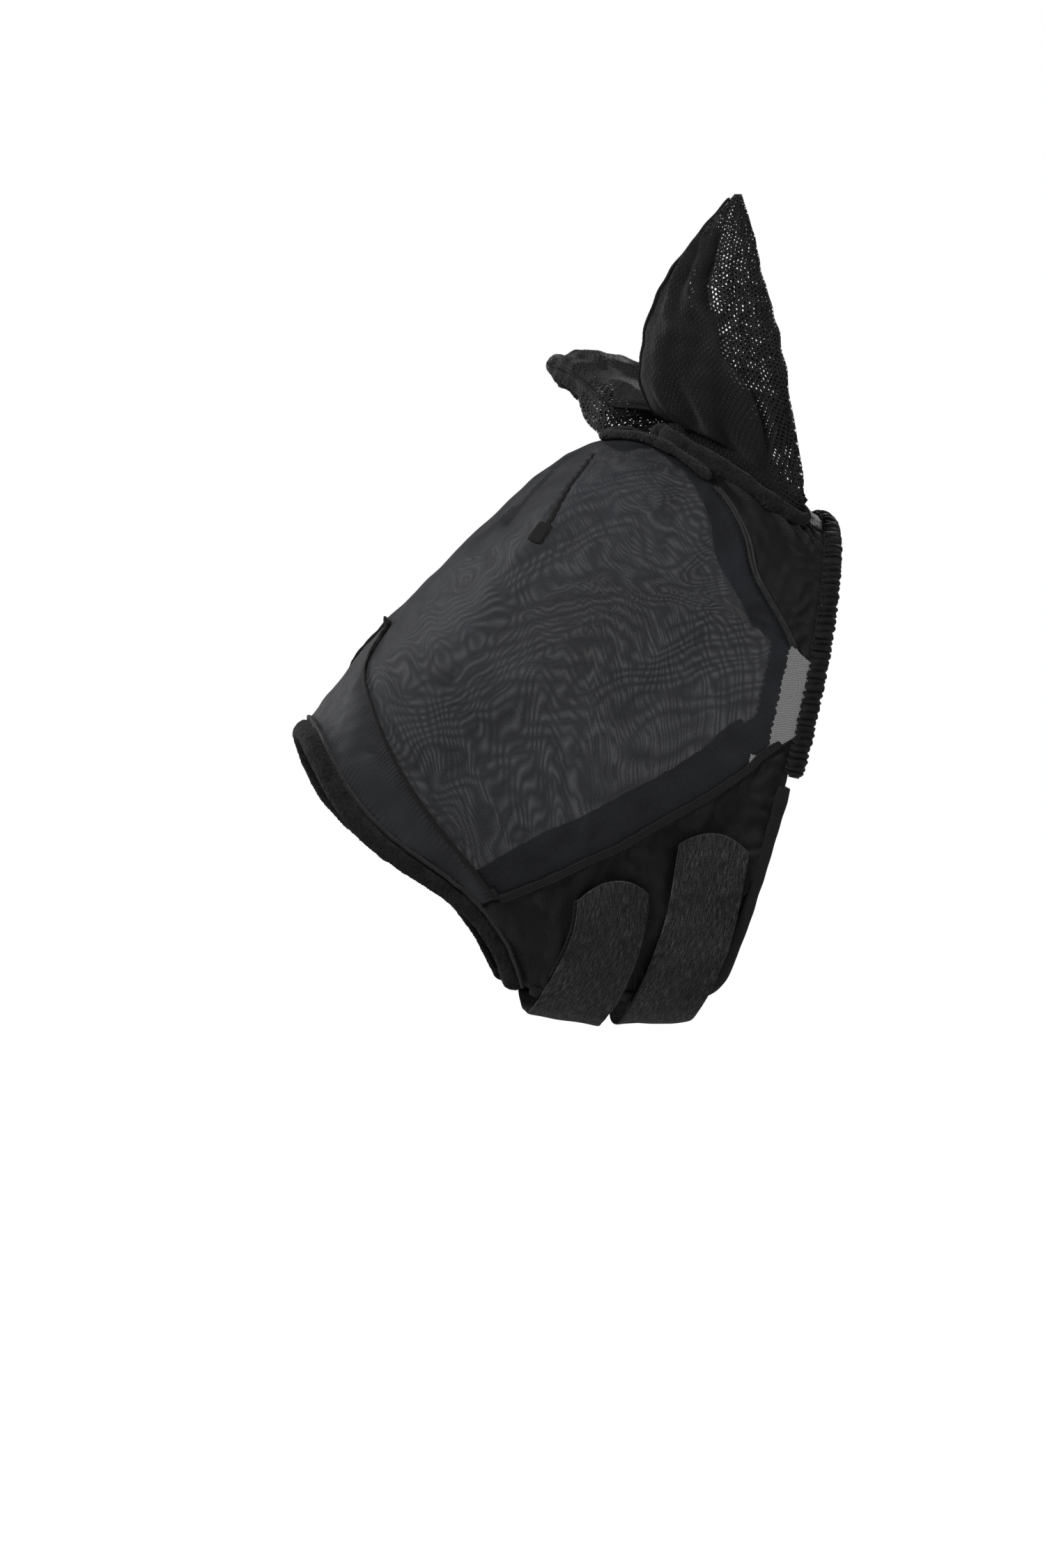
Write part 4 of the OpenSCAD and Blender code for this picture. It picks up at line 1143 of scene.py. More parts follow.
class FlyMaskFleece(bpy.types.Operator):
    """Fleece band in front of the ears and the rolled cuffs that the ears come through: uneven
    rolls with tufts of noise on them"""
    bl_idname = "fly_mask.fleece"
    bl_label = "Fleece band and cuffs"

    def execute(self, context):
        t = np.linspace(-0.15, 0.15, 200)
        p, ups = on_skin(mesh_back(t), t, 4.1)
        p, ups, s = even(p, ups, 0.7)
        fat = 1 + 0.08 * waves(p, 18, 51)
        r = nap(tube(p, ups, 4.4, 3.3, 36, swell=ended(36, s, s[-1], 4) * fat[:, None]), 0.3, 2.6, 52)
        obj = Shape().grid(r, wrap=True, caps=True).make("fleece_brow_band", finish("fleece"))
        place_piece(obj, "mask", "fleece", "brow_band")
        a = -np.linspace(0, 360, 420, endpoint=False)
        for side, name in ((1, "near"), (-1, "off")):
            u, v = ear_oval(a)
            p, ups = on_skin(u, v, 5.0)
            fat = 1 + 0.08 * waves(p, 20, 61)
            r = tube(p, ups, 5.2, 6.6, 44, loop=True, swell=fat[:, None] * np.ones((1, 44)))
            r = nap(r, 0.3, 2.6, 62)
            r = r * [1, side, 1]
            r = np.concatenate([r, r[:1]])
            obj = Shape().grid(r, wrap=True).make("fleece_cuff_" + name, finish("fleece"))
            place_piece(obj, "mask", "fleece", "ear_cuff_" + name)
        return {"FINISHED"}


# ---- Jaw panels, their seams and bindings ---------------------------------------------------------


def corner_in(high, r):
    """How far a rounded corner of radius r is cut in, high millimetres above the edge."""
    return np.where(high > r, 0.0, r - np.sqrt(np.maximum(r * r - (r - np.minimum(high, r)) ** 2, 0)))


def jaw_low(u, inset):
    return step_t(u, JAW_EDGE_T, -inset)


def jaw_rear(t, inset):
    wide = np.linalg.norm(along_t(0.95, 0.85))
    return step_u(1.0, t, -inset - corner_in((JAW_EDGE_T - t) * wide - inset, 20 - inset))


def jaw_folds(u, t, p):
    """Soft folds of the jaw panel: slanting rolls below the seam, a deep one beside the front
    strap, short puckers above its lower binding and behind it."""
    low = (JAW_EDGE_T - t) * 190
    rear = (1 - u) * 260
    h = 1.1 * waves(p * [1, 1, 0.5], 34, 71) + 0.35 * waves(p, 17, 72)
    front = spline(FRONT_LINE, (t - STRAP_TOP_T) / (STRAP_END_T - STRAP_TOP_T))
    gap = (front - u) * 260 - 34
    under = smooth((t - 0.62) / 0.06)
    h = h + 1.8 * bump(gap + 4 * np.sin(t * 30), 6) * under - 1.3 * bump(gap - 12, 5) * under
    h = h + 0.6 * np.sin(p[..., 0] / 1.5 + 1.4 * waves(p, 22, 73)) * bump(low - 8, 9)
    h = h + 0.7 * np.sin(p[..., 2] / 2.0 + 1.4 * waves(p, 22, 74)) * bump(rear - 10, 12)
    seam = (t - jaw_line(u)) * 190
    h = h + 0.5 * np.sin(p[..., 0] / 2.2 + 1.2 * waves(p, 20, 75)) * bump(seam - 4, 9)
    return h * smooth(seam / 3) * smooth(low / 6)


class FlyMaskJaw(bpy.types.Operator):
    """Jaw panels: knit 1 mm thick from the mesh seam down to the open edge, with slanting folds
    and puckers, the taped seam above with its thread, and the folded binding round the free edge"""
    bl_idname = "fly_mask.jaw"
    bl_label = "Jaw panels"

    def execute(self, context):
        rows, cols = 200, 420
        a, b = np.meshgrid(np.linspace(0, 1, cols), np.linspace(0, 1, rows))
        inset = 9.0 * 0.5
        u = 0 * a + 0.5
        for _ in range(4):
            t = mix(jaw_line(u) + 0.003, jaw_low(u, inset), 1 - (1 - b) ** 1.3)
            u = mix(step_u(0.0, t, 7.2), jaw_rear(t, inset), a)
        p = form(u, t)
        h = jaw_folds(u, t, p)
        over, under = skin(u, t, 1.05 + np.maximum(h, -0.8)), skin(u, t, 0.1 + 0 * h)
        low = jaw_low(0.9, inset)
        turn = (20 - inset) / np.linalg.norm(along_t(0.95, 0.85))
        t1 = np.linspace(CASING_END_T + 0.008, low - turn, 120)
        t2 = low - turn * (1 - np.sin(np.radians(np.linspace(2, 88, 60))))
        u3 = np.linspace(jaw_rear(low, inset), step_u(0.0, JAW_EDGE_T, 13.0), 260)
        u_edge = np.concatenate([jaw_rear(t1, inset), jaw_rear(t2, inset), u3])
        t_edge = np.concatenate([t1, t2, jaw_low(u3, inset)])
        us = np.linspace(0.125, 0.955, 400)
        for side, name in ((1, "near"), (-1, "off")):
            m = np.array([1, side, 1])
            # painted shade in the jaw panel's creases and painted light on its folds
            obj = Shape().slab(over * m, under * m, tone=np.clip(h * 0.45, -1, 1))
            obj = obj.make("jaw_cloth_" + name, finish("knit"))
            place_piece(obj, "mask", "knit", "jaw_panel_" + name)

            e, ups = on_skin(u_edge, t_edge, 0.9)
            e, ups, s = even(e, ups, 1.0)
            sway = 1 + 0.05 * waves(e, 14, 81)
            r = tube(e, ups, 4.4, 2.3, 24, square=0.75, swell=ended(24, s, s[-1], 1.5) * sway[:, None])
            obj = Shape().grid(r * m, wrap=True, caps=True)
            obj = obj.make("jaw_binding_tape_" + name, finish("binding_tape"))
            place_piece(obj, "mask", "binding_tape", "jaw_binding_" + name)
            line = Shape()
            across = unit(np.cross(ups, np.gradient(e, axis=0)))
            for off in (-2.9, 2.9):
                q = (e + across * off + ups * 1.75) * m
                stitches(line, q, ups * m, mm(sizes().stitch_pitch), 2.5, 0.42)
            place_piece(line.make("jaw_binding_stitches_" + name, finish("thread")), "mask", "binding_tape")

            q, qu = on_skin(us, jaw_line(us), 1.9)
            q, qu, s = even(q, qu, 1.0)
            wob = 1 + 0.06 * waves(q, 12, 83)
            swell = ended(22, s, s[-1], 1) * wob[:, None]
            r = tube(q, qu, 3.1, 0.62, 22, square=0.55, swell=swell)
            tape = Shape().grid(r * m, wrap=True, caps=True)
            obj = tape.make("jaw_seam_tape_" + name, finish("seam_tape"))
            place_piece(obj, "mask", "seam_tape", "jaw_seam_" + name)
            line = Shape()
            across = unit(np.cross(qu, np.gradient(q, axis=0)))
            for off in (-2.2, 2.3):
                stitches(line, (q + across * off + qu * 0.6) * m, qu * m, mm(sizes().stitch_pitch), 2.7, 0.5)
            place_piece(line.make("jaw_seam_stitches_" + name, finish("thread")), "mask", "seam_tape")
        return {"FINISHED"}


# ---- Crown panels, poll seam and piping -----------------------------------------------------------


def crown_edge(n):
    """Places round the crown panel's outer edge, from the front by the poll, down the mesh edge,
    up the rear edge and back along the poll seam."""
    t = np.linspace(0.001, 0.358, n)
    front = np.stack([step_u(mesh_back(t), t, 2.0), t], -1)
    low = np.array([[0.962, 0.368]])
    t = np.linspace(0.372, 0.001, n)
    rear = np.stack([step_u(1.0, t, -5.4), t], -1)
    mid = np.stack([np.linspace(0.955, 0.665, n // 2), np.full(n // 2, 0.001)], -1)
    e = np.concatenate([front, low, rear, mid])
    s = lengths(np.stack([e[:, 0] * U_LONG, e[:, 1] * T_LONG], -1))
    x = np.linspace(0, s[-1], 560, endpoint=False)
    return np.stack([np.interp(x, s, e[:, k]) for k in (0, 1)], -1)


class FlyMaskCrown(bpy.types.Operator):
    """Crown panels: rings of knit round the ear openings, with folds that spread from the cuff
    and die away over 25 mm, gathers before the rear edge, the poll seam and the double piping"""
    bl_idname = "fly_mask.crown"
    bl_label = "Crown panels"

    def execute(self, context):
        edge = crown_edge(160)
        iu, it = ear_oval(ear_angle(edge[:, 0], edge[:, 1]), 0.006)
        inner = np.stack([iu, np.maximum(it, 0.001)], -1)
        f = np.linspace(0, 1, 90)[:, None, None]
        place = mix(inner[None], edge[None], f)
        place = np.concatenate([place, place[:, :1]], 1)
        u, t = place[..., 0], place[..., 1]
        p = form(u, t)
        away = np.linalg.norm(p - form(*(np.stack(ear_oval(ear_angle(u, t), 0.0)))), axis=-1)
        angle = np.radians(ear_angle(u, t))
        fold = np.sin(15 * angle + 2.2 * np.sin(2 * angle) + 1.0 * waves(p, 30, 91))
        h = 2.1 * fold * np.exp(-np.maximum(away - 5, 0) / 26) * smooth(t / 0.03)
        rear = (1 - u) * CROWN_LONG - 6
        h = h + 0.9 * np.sin(p[..., 2] / 1.9 + 1.5 * waves(p, 26, 92)) * np.exp(-np.maximum(rear, 0) / 13)
        h = h + 0.8 * waves(p, 34, 93) * smooth(rear / 20) + 0.3 * waves(p, 12, 94)
        hem = smooth(np.minimum(np.minimum(rear, (u - mesh_back(t)) * CROWN_LONG), t * T_LONG + 2) / 5)
        h = h * mix(0.35, 1.0, hem)
        over, under = skin(u, t, 1.1 + np.maximum(h, -0.8) + 0.9 * np.exp(-away / 5)), skin(u, t, 0.1 + 0 * h)
        for side, name in ((1, "near"), (-1, "off")):
            m = np.array([1, side, 1])
            uv = np.stack([p[..., 0] * 0.94 - p[..., 2] * 0.34, p[..., 2] * 0.94 + p[..., 0] * 0.34], -1)
            # painted shade in the crown panel's creases and painted light on its folds
            obj = Shape().slab(over * m, under * m, uv=uv, tone=np.clip(h * 0.5, -1, 1))
            obj = obj.make("crown_cloth_" + name, finish("knit"))
            place_piece(obj, "mask", "knit", "crown_panel_" + name)
            x = np.linspace(0.0, 1.0, 60)
            across = form(1.0 + 0 * x, x * 0.372)[None]
            form(mix(0.65, 1.0, x), 0 * x)[:, None]
            t1 = np.linspace(0.16, 0.366, 260)
            cord, line = Shape(), Shape()
            for gap, r in ((-1.1, 1.25), (1.9, 1.35)):
                q, qu = on_skin(step_u(mesh_back(t1), t1, gap), t1, 2.6)
                q, qu, s = even(q, qu, 0.9)
                q = q + qu * (0.15 * waves(q, 11, 95 + int(gap)))[:, None]
                cord.grid(tube(q, qu, r, r, 16, swell=ended(16, s, s[-1], 2)) * m, wrap=True, caps=True)
            for gap in (-3.6, 4.6):
                q, qu = on_skin(step_u(mesh_back(t1), t1, gap), t1, 1.6)
                q, qu, _ = even(q, qu, 0.9)
                stitches(line, q * m, qu * m, mm(sizes().stitch_pitch), 2.5, 0.4)
            obj = cord.make("crown_piping_cords_" + name, finish("piping"))
            place_piece(obj, "mask", "piping", "crown_piping_" + name)
            place_piece(line.make("crown_piping_stitches_" + name, finish("thread")), "mask", "piping")
        u = np.linspace(0.675, 0.972, 200)
        q, qu = on_skin(u, 0 * u, 1.95)
        q, qu, s = even(q, qu, 1.0)
        r = tube(q, qu, 3.0, 0.6, 22, square=0.55, swell=ended(22, s, s[-1], 1))
        tape = Shape().grid(r, wrap=True, caps=True)
        place_piece(tape.make("poll_seam_tape", finish("seam_tape")), "mask", "seam_tape", "poll_seam")
        line = Shape()
        for off in (-2.1, 2.1):
            stitches(line, q + [0, off, 0] + qu * 0.6, qu, mm(sizes().stitch_pitch), 2.5, 0.45)
        place_piece(line.make("poll_seam_stitches", finish("thread")), "mask", "seam_tape")
        return {"FINISHED"}


# ---- Gathered rear edge ---------------------------------------------------------------------------


class FlyMaskRearEdge(bpy.types.Operator):
    """Gathered rear edge: a casing over its elastic. Along it the section swells and shrinks in
    uneven gathers about 4.6 mm apart, deeper on the free side, and the line of the edge scallops"""
    bl_idname = "fly_mask.rear_edge"
    bl_label = "Gathered rear edge"

    def execute(self, context):
        x = np.linspace(-1, 1, 2400)
        t = x * CASING_END_T
        p, ups = on_skin(np.ones(2400), t, 1.0)
        p, ups, s = even(p, ups, 0.32)
        rng = np.random.default_rng(7)
        drift = 1.1 * np.interp(s, np.linspace(0, s[-1], 160), rng.normal(size=160))
        phase = s / mm(sizes().gather_pitch) * 2 * np.pi + drift
        deep = 0.75 + 0.35 * np.interp(s, np.linspace(0, s[-1], 90), rng.uniform(-1, 1, 90))
        sides = 36
        a = np.linspace(0, 2 * np.pi, sides, endpoint=False)
        free = 0.5 - 0.5 * np.cos(a)
        lean = np.sin(phase[:, None] / 2 + 2.2 * np.sin(a)[None])
        gather = (np.abs(np.cos((phase[:, None] + 0.9 * np.sin(2 * a)[None]) / 2)) - 0.62) * 2 * deep[:, None]
        r = tube(p, ups, 6.3, 5.0, sides)
        mid = r.mean(1, keepdims=True)
        out = unit(r - mid)
        rise = mm(sizes().gather_depth) * gather * (0.65 + 0.5 * free[None])
        rise = rise + 0.25 * waves(r, 7, 101) + 0.2 * lean
        r = r + out * rise[..., None]
        r = mid + (r - mid) * ended(sides, s, s[-1], 3)[..., None]
        # painted shade between the gathers and painted light on their tops
        obj = Shape().grid(r, wrap=True, caps=True, tone=np.clip(gather * 1.2 - 0.1, -1, 1))
        obj = obj.make("gathered_casing", finish("knit"))
        place_piece(obj, "mask", "knit", "rear_casing")
        line = Shape()
        u = step_u(np.ones(2400), t, -7.4)
        q, qu = on_skin(u, t, 2.6)
        q, qu, s2 = even(q, qu, 0.8)
        q = q + qu * (0.5 * np.sin(s2 / mm(sizes().gather_pitch) * 2 * np.pi))[:, None]
        stitches(line, q, qu, 3.0, 2.3, 0.45)
        place_piece(line.make("casing_stitches", finish("thread")), "mask", "knit")
        elastic = bpy.data.objects.get("rear_elastic")
        if elastic is None:
            raise RuntimeError("the frame has no rear_elastic")
        for k in range(max(len(elastic.material_slots), 1)):
            if not elastic.material_slots:
                elastic.data.materials.append(None)
            elastic.material_slots[k].material = finish("elastic")
        return {"FINISHED"}


# ---- Straps ---------------------------------------------------------------------------------------


def strap_u(line, t):
    return spline(line, (t - STRAP_TOP_T) / (STRAP_END_T - STRAP_TOP_T))


def strap_skin(line, t, x, h):
    """A point of a strap that lies on the form, x millimetres to the rear of its centre line."""
    u = strap_u(line, t)
    way = unit(form(strap_u(line, t + FINE), t + FINE) - form(strap_u(line, t - FINE), t - FINE))
    pu, pt, up = along_u(u, t), along_t(u, t), outward(u, t)
    side = np.cross(way, up)
    across = unit(side * np.where(dot(side, pu) < 0, -1.0, 1.0)[..., None]) * x[..., None]
    nt, nu = np.cross(pt, up), np.cross(up, pu)
    return skin(u + dot(across, nt) / dot(pu, nt), t + dot(across, nu) / dot(pt, nu), h)


def web_point(line, t, x, h):
    """A point of the webbing: on the cheeks it follows the form, and at the two folds and under
    the jaw it lies flat across its width."""
    t, x, h = (np.asarray(v, float) + 0 * (t + x + h) for v in (t, x, h))
    u = strap_u(line, t)
    half = 25 + 0 * t
    way = unit(strap_skin(line, t, half, 0 * t) - strap_skin(line, t, -half, 0 * t))
    tilt = outward(u, t)
    up = unit(tilt - way * dot(tilt, way)[..., None])
    flat = form(u, t) + way * x[..., None] + up * h[..., None]
    share = smooth((t - 0.83) / 0.05) * smooth((1.17 - t) / 0.05)
    return mix(strap_skin(line, t, x, h), flat, share[..., None])


def strap_grid(line, start, end, width, rows, cols, tip=0.0):
    """Places over a length of strap: rows along it and columns across it. tip rounds the corners
    of its first end by a power of the distance across."""
    x = np.linspace(-1, 1, cols)[None]
    f = np.linspace(0, 1, rows)[:, None]
    speed = float(np.linalg.norm(along_t(strap_u(line, np.array(start)), np.array(start))))
    t = mix(start + tip * np.abs(x) ** 2 / speed, end, f)
    return t, x * (width / 2 * np.ones_like(t))


def strap_relief(line, t, x, width, seed):
    """Soft unevenness of the webbing: slow waves and a rounded selvedge."""
    p = form(strap_u(line, t), t)
    p = p + x[..., None] * [0.8, 0, 0]
    edge = width / 2 - np.abs(x)
    h = 0.55 * waves(p, 48, seed) + 0.2 * waves(p, 16, seed + 1)
    return h - 0.45 * np.exp(-edge / 0.9)


class FlyMaskStraps(bpy.types.Operator):
    """Closing straps: brushed webbing with selvedges, stitch lines and a rounded tip, the stiff
    hook tape under the tip and the brushed loop tape sewn to the jaw panel with a zigzag edge"""
    bl_idname = "fly_mask.straps"
    bl_label = "Closing straps"

    def web(self, name, line, start, end, tip, seed, part, sink=False):
        """One length of webbing."""
        width = mm(sizes().strap_width)
        long = int(abs(end - start) * 900)
        t, x = strap_grid(line, start, end, width, max(long, 60), 60, tip)
        h = strap_relief(line, t, x, width, seed)
        lift = 0 * t if not sink else -3.3 * smooth((t - 1.155) / 0.05)
        tuck = 1.0 * np.exp(-(t - start) * 300) if tip else 0 * t
        over = web_point(line, t, x, WEB_TOP + lift + np.maximum(h, -1.0) - 0.3 * tuck)
        under = web_point(line, t, x, WEB_UNDER + lift + 0.35 * h)
        uv = np.stack([x, cloth_uv(over, False)[..., 1]], -1)
        # painted shade in the webbing's dips and painted light on its rises
        shape = Shape().slab(over, under, uv=uv, tone=np.clip(h * 0.5, -1, 1))
        return shape.make(name + "_webbing_" + part, finish("webbing"))

    def lines(self, name, line, start, end, seed, part, rows, cross=()):
        """Stitch lines along a length of webbing and across it."""
        width = mm(sizes().strap_width)
        shape = Shape()

        def run(t, x):
            h = strap_relief(line, t, x, width, seed)
            lift = -3.3 * smooth((t - 1.155) / 0.05)
            a = web_point(line, t, x, WEB_TOP + lift + h)
            b = web_point(line, t, x, WEB_TOP + THREAD_RISE + lift + h)
            q, qu, _ = even(a, unit(b - a), 0.9)
            stitches(shape, q, qu, mm(sizes().stitch_pitch), 2.6, 0.5)

        for x in rows:
            n = int(abs(end - start) * 500)
            run(np.linspace(start, end, n), np.full(n, float(x)))
        for t in cross:
            n = 70
            run(np.full(n, float(t)), np.linspace(-width / 2 + 3, width / 2 - 3, n))
        return shape.make(name + "_stitches_" + part, finish("thread"))

    def execute(self, context):
        straps = (("front", FRONT_LINE, 111, 54, FRONT_TIP), ("rear", REAR_LINE, 131, 47, REAR_TIP))
        for name, line, seed, loop_wide, shift in straps:
            top = STRAP_TOP_T + shift

            def bend(t):
                middle = web_point(line, np.array(t), np.array(0.0), np.array(WEB_MID))
                return tuple(float(v) * MM for v in middle)

            tip = 9.5
            upper = self.web(name, line, top, 1.0, tip, seed, "upper")
            lower = self.web(name, line, 1.0, STRAP_END_T, 0, seed, "lower", sink=True)
            bend(0.93)
            bend(0.85)
            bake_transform(upper)
            bend(1.15)
            bend(1.07)
            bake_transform(lower)
            place_piece(upper, None, "webbing", name + "_strap_tab", name + "_strap_bridge")
            place_piece(lower, None, "webbing", name + "_strap_anchor")
            sewn = self.lines(name, line, top + 0.03, 0.79, seed, "upper", (-21.5, 21.5),
                (top + 0.032, top + 0.06))
            place_piece(sewn, name + "_tab", "webbing")
            sewn = self.lines(name, line, 1.2, 1.295, seed, "lower", (-21.5, 21.5), (1.21, 1.29))
            place_piece(sewn, "mask", "webbing")

            t, x = strap_grid(line, top + 0.03, HOOK_END_T, 46, 150, 40, tip)
            h = 0.12 * waves(form(strap_u(line, t), t), 20, seed + 5)
            shape = Shape().slab(web_point(line, t, x, HOOK_TOP + h), web_point(line, t, x, HOOK_UNDER + h))
            obj = shape.make(name + "_hook_tape", finish("hook_tape"))
            place_piece(obj, name + "_tab", "hook_tape", name + "_hook_patch")

            t, x = strap_grid(line, top + 0.02, LOOP_END_T, loop_wide, 170, 60)
            p = form(strap_u(line, t), t) + x[..., None] * [0.8, 0, 0]
            h = 0.25 * waves(p, 22, seed + 7)
            over = web_point(line, t, x, LOOP_TOP + h)
            under = web_point(line, t, x, LOOP_UNDER + 0.5 * h)
            # painted shade in the loop tape's dips and painted light on its rises
            shape = Shape().slab(over, under, tone=np.clip(h, -1, 1))
            obj = shape.make(name + "_loop_tape", finish("loop_tape"))
            place_piece(obj, "mask", "loop_tape", name + "_loop_patch")
            shape = Shape()
            for side in (-1, 1):
                n = 220
                tt = np.linspace(top + 0.024, 0.80, n)
                xx = np.full(n, side * (loop_wide / 2 - 2.4))
                a = web_point(line, tt, xx, LOOP_TOP + 0.15 + 0 * tt)
                b = web_point(line, tt, xx, LOOP_TOP + 0.15 + THREAD_RISE + 0 * tt)
                q, qu, _ = even(a, unit(b - a), 0.9)
                stitches(shape, q, qu, 2.3, 2.3, 0.55, sway=1.9)
            place_piece(shape.make(name + "_loop_stitches", finish("thread")), "mask", "loop_tape")
        return {"FINISHED"}


# ---- Ear covers -----------------------------------------------------------------------------------

EAR_YAW = 17
CREASE = (40, 50, 74, 92, 97, 88)


def ear_rim(a, height=18.0, grow=-0.016):
    u, t = ear_oval(a, grow)
    return skin(u, t, height + 0 * u)


def ear_point(cover, a, h, out=0.0):
    """A point of an upright near cover: an oval section carried up the spine, blended into the rim
    above the cuff. a is the angle round it in degrees, h runs from base to tip."""
    long, deep = spline(cover[1], h) + out, spline(cover[2], h) + out
    yaw = math.radians(EAR_YAW)
    way, side = np.array([math.cos(yaw), -math.sin(yaw), 0]), np.array([-math.sin(yaw), -math.cos(yaw), 0])
    c, s = np.cos(np.radians(a)), np.sin(np.radians(a))
    free = spline(cover[0], h) + way * (long * c)[..., None] + side * (deep * s)[..., None]
    return mix(ear_rim(a) , free, smooth(h / 0.3)[..., None])


def turned(p, angle, axis, at):
    """Points turned about a line by an angle in degrees, which may differ from point to point."""
    k = unit(np.asarray(axis, float))
    q = p - at
    c, s = np.cos(np.radians(angle))[..., None], np.sin(np.radians(angle))[..., None]
    along = dot(q, k[None, None] * np.ones_like(q))[..., None]
    return at + q * c + np.cross(k, q) * s + k * along * (1 - c)


def ear_fold_at():
    return ear_rim(np.array(90.0)) + [0, -2, -1]


def ear_relief(a, h, far):
    """Folds of an ear cover: gathers round its base that die away upwards, upright folds, and one
    long wavy crease up the near cover's outer face, or crumples all over the far one."""
    r = np.radians(a)
    ring = np.stack([np.cos(r) * 40, np.sin(r) * 20, h * 170], -1)
    g = 1.7 * np.sin(17 * r + 2.5 * np.sin(2 * r) + waves(ring, 60, 141)) * np.exp(-h / 0.13)
    g = g * smooth((h + 0.02) / 0.03)
    tall = 1.2 * waves(ring * [1, 1, 0.28], 15, 142) * smooth(h / 0.1) * smooth((1.02 - h) / 0.25)
    soft = 0.5 * waves(ring, 14, 143) * smooth((1.01 - h) / 0.15)
    if far:
        crumple = 2.6 * ridge(ring, 46, 144) * smooth(h / 0.15) * smooth((1.04 - h) / 0.3)
        crumple = crumple + 0.9 * waves(ring, 24, 145)
        under = 13 * bump(a - 105, 55) * smooth(h / 0.12) * smooth((0.75 - h) / 0.45)
        return g + (0.6 * tall + crumple - 1.5 + 0.4 * soft + under) * smooth((1.0 - h) / 0.12)
    centre = spline(CREASE, h) + 4 * np.sin(h * 23)
    off = (a - centre) * np.pi / 180 * (8 + spline((38, 44, 36, 26, 14, 4), h))
    deep = 4.6 * smooth((h - 0.08) / 0.12) * smooth((0.93 - h) / 0.2)
    crease = -deep * bump(off, 4.5) + 0.45 * deep * bump(off - 9, 6) + 0.3 * deep * bump(off + 10, 6)
    second = -1.6 * bump(off + 24 + 6 * np.sin(h * 9), 4) * smooth((h - 0.1) / 0.2) * smooth((0.7 - h) / 0.2)
    return g + tall + soft + crease + second


class FlyMaskEars(bpy.types.Operator):
    """Ear covers: soft pockets of holed knit that rise out of the cuffs, gathered at the base and
    creased upwards, with a thread seam up the front edge. The far one is folded out and down"""
    bl_idname = "fly_mask.ears"
    bl_label = "Ear covers"

    def execute(self, context):
        for name, cover, side, fold in (("near", NEAR_EAR, 1, 0), ("off", OFF_EAR, -1, OFF_EAR_FOLD)):
            rows, cols = 300, 300
            a = np.linspace(0, 360, cols, endpoint=False)[None] * np.ones((rows, 1))
            h = np.linspace(0.0, 1, rows)[:, None] ** 0.97 * np.ones((1, cols))
            rel = ear_relief(a, h, fold > 0)
            p = ear_point(cover, a, h, 0.0)
            mid = p.mean(1, keepdims=True)
            out = unit((p - mid) * [1, 1, 0.2])
            p = p + out * rel[..., None]
            at = ear_fold_at()

            def folded(q, v):
                if not fold:
                    return q
                m = turned(q, (fold + 2) * smooth(v / 0.3) + 7 * smooth((v - 0.55) / 0.45), EAR_FOLD, at)
                return m * [1, -1, 1]

            p = folded(p, h)
            skirt_h = np.linspace(6, 17.5, 16)[:, None] * np.ones((1, cols))
            u, t = ear_oval(a[:16], -0.013)
            skirt = skin(u, t, skirt_h) * [1, side, 1]
            grid = np.concatenate([skirt, p])
            heights = np.concatenate([np.full((16, cols), -0.05), h])
            rel = np.concatenate([np.broadcast_to(rel[:1], (16, cols)) * 0.3, rel])
            full = np.concatenate([a[:16], a])
            edge = spline(CREASE, np.clip(heights, 0, 1)) + 4 * np.sin(heights * 23)
            front = smooth((full - edge) / 9) * smooth((225 - full) / 20) * smooth((0.9 - heights) / 0.12)
            # the far cover is painted darker all over, a painted shade, and its holes are partly shut
            front = front if not fold else 0.6 + 0 * full
            # painted shade and light from the folds; the near cover's front is darker, with its holes shut
            tone = np.clip(rel * 0.16 + 0.55 - 1.3 * front, -1, 1)
            uv = cloth_uv(grid, True)
            away = unit(grid - grid.mean(1, keepdims=True))
            both = np.concatenate([(grid - away * 0.8)[::-1], grid])
            faces = np.concatenate([-away[::-1], away])
            uv, tone = np.concatenate([uv[::-1], uv]), np.concatenate([tone[::-1], tone])
            shape = Shape().grid(both, wrap=True, out=faces, uv=uv, tone=tone)
            obj = shape.make("ear_cloth_" + name, finish("ear_knit"))
            base = ear_rim(np.arange(0, 360, 30.0)).mean(0)
            top = spline(cover[0], np.array(0.45))
            top = folded(top[None, None], np.array([[1.0]]))[0, 0]
            base = base * [1, side, 1]
            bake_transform(obj)
            place_piece(obj, None, "ear_knit", "ear_cover_" + name)

            hs = np.linspace(0.03, 0.985, 260)
            fa = np.full(260, 180.0)
            inner = ear_point(cover, fa, hs)
            outer = ear_point(cover, fa, hs, 1.2 + 0.5)
            rr = ear_relief(fa, hs, fold > 0)
            ups = unit(outer - inner)
            line = inner + ups * (rr + 1.0)[:, None]
            line2 = folded(line[None], hs[None])[0]
            ups2 = unit(folded((line + ups)[None], hs[None])[0] - line2)
            q, qu, s = even(line2, ups2, 0.9)
            seam = Shape().grid(tube(q, qu, 1.1, 1.1, 14, swell=ended(14, s, s[-1], 2)), wrap=True, caps=True)
            stitches(seam, q + qu * 0.9, qu, 1.7, 1.5, 0.6, sway=1.0)
            obj = seam.make("ear_overlock_" + name, finish("seam_tape"))
            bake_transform(obj)
            place_piece(obj, None, "seam_tape", "ear_seam_" + name)
        return {"FINISHED"}


# ---- Stage ----------------------------------------------------------------------------------------


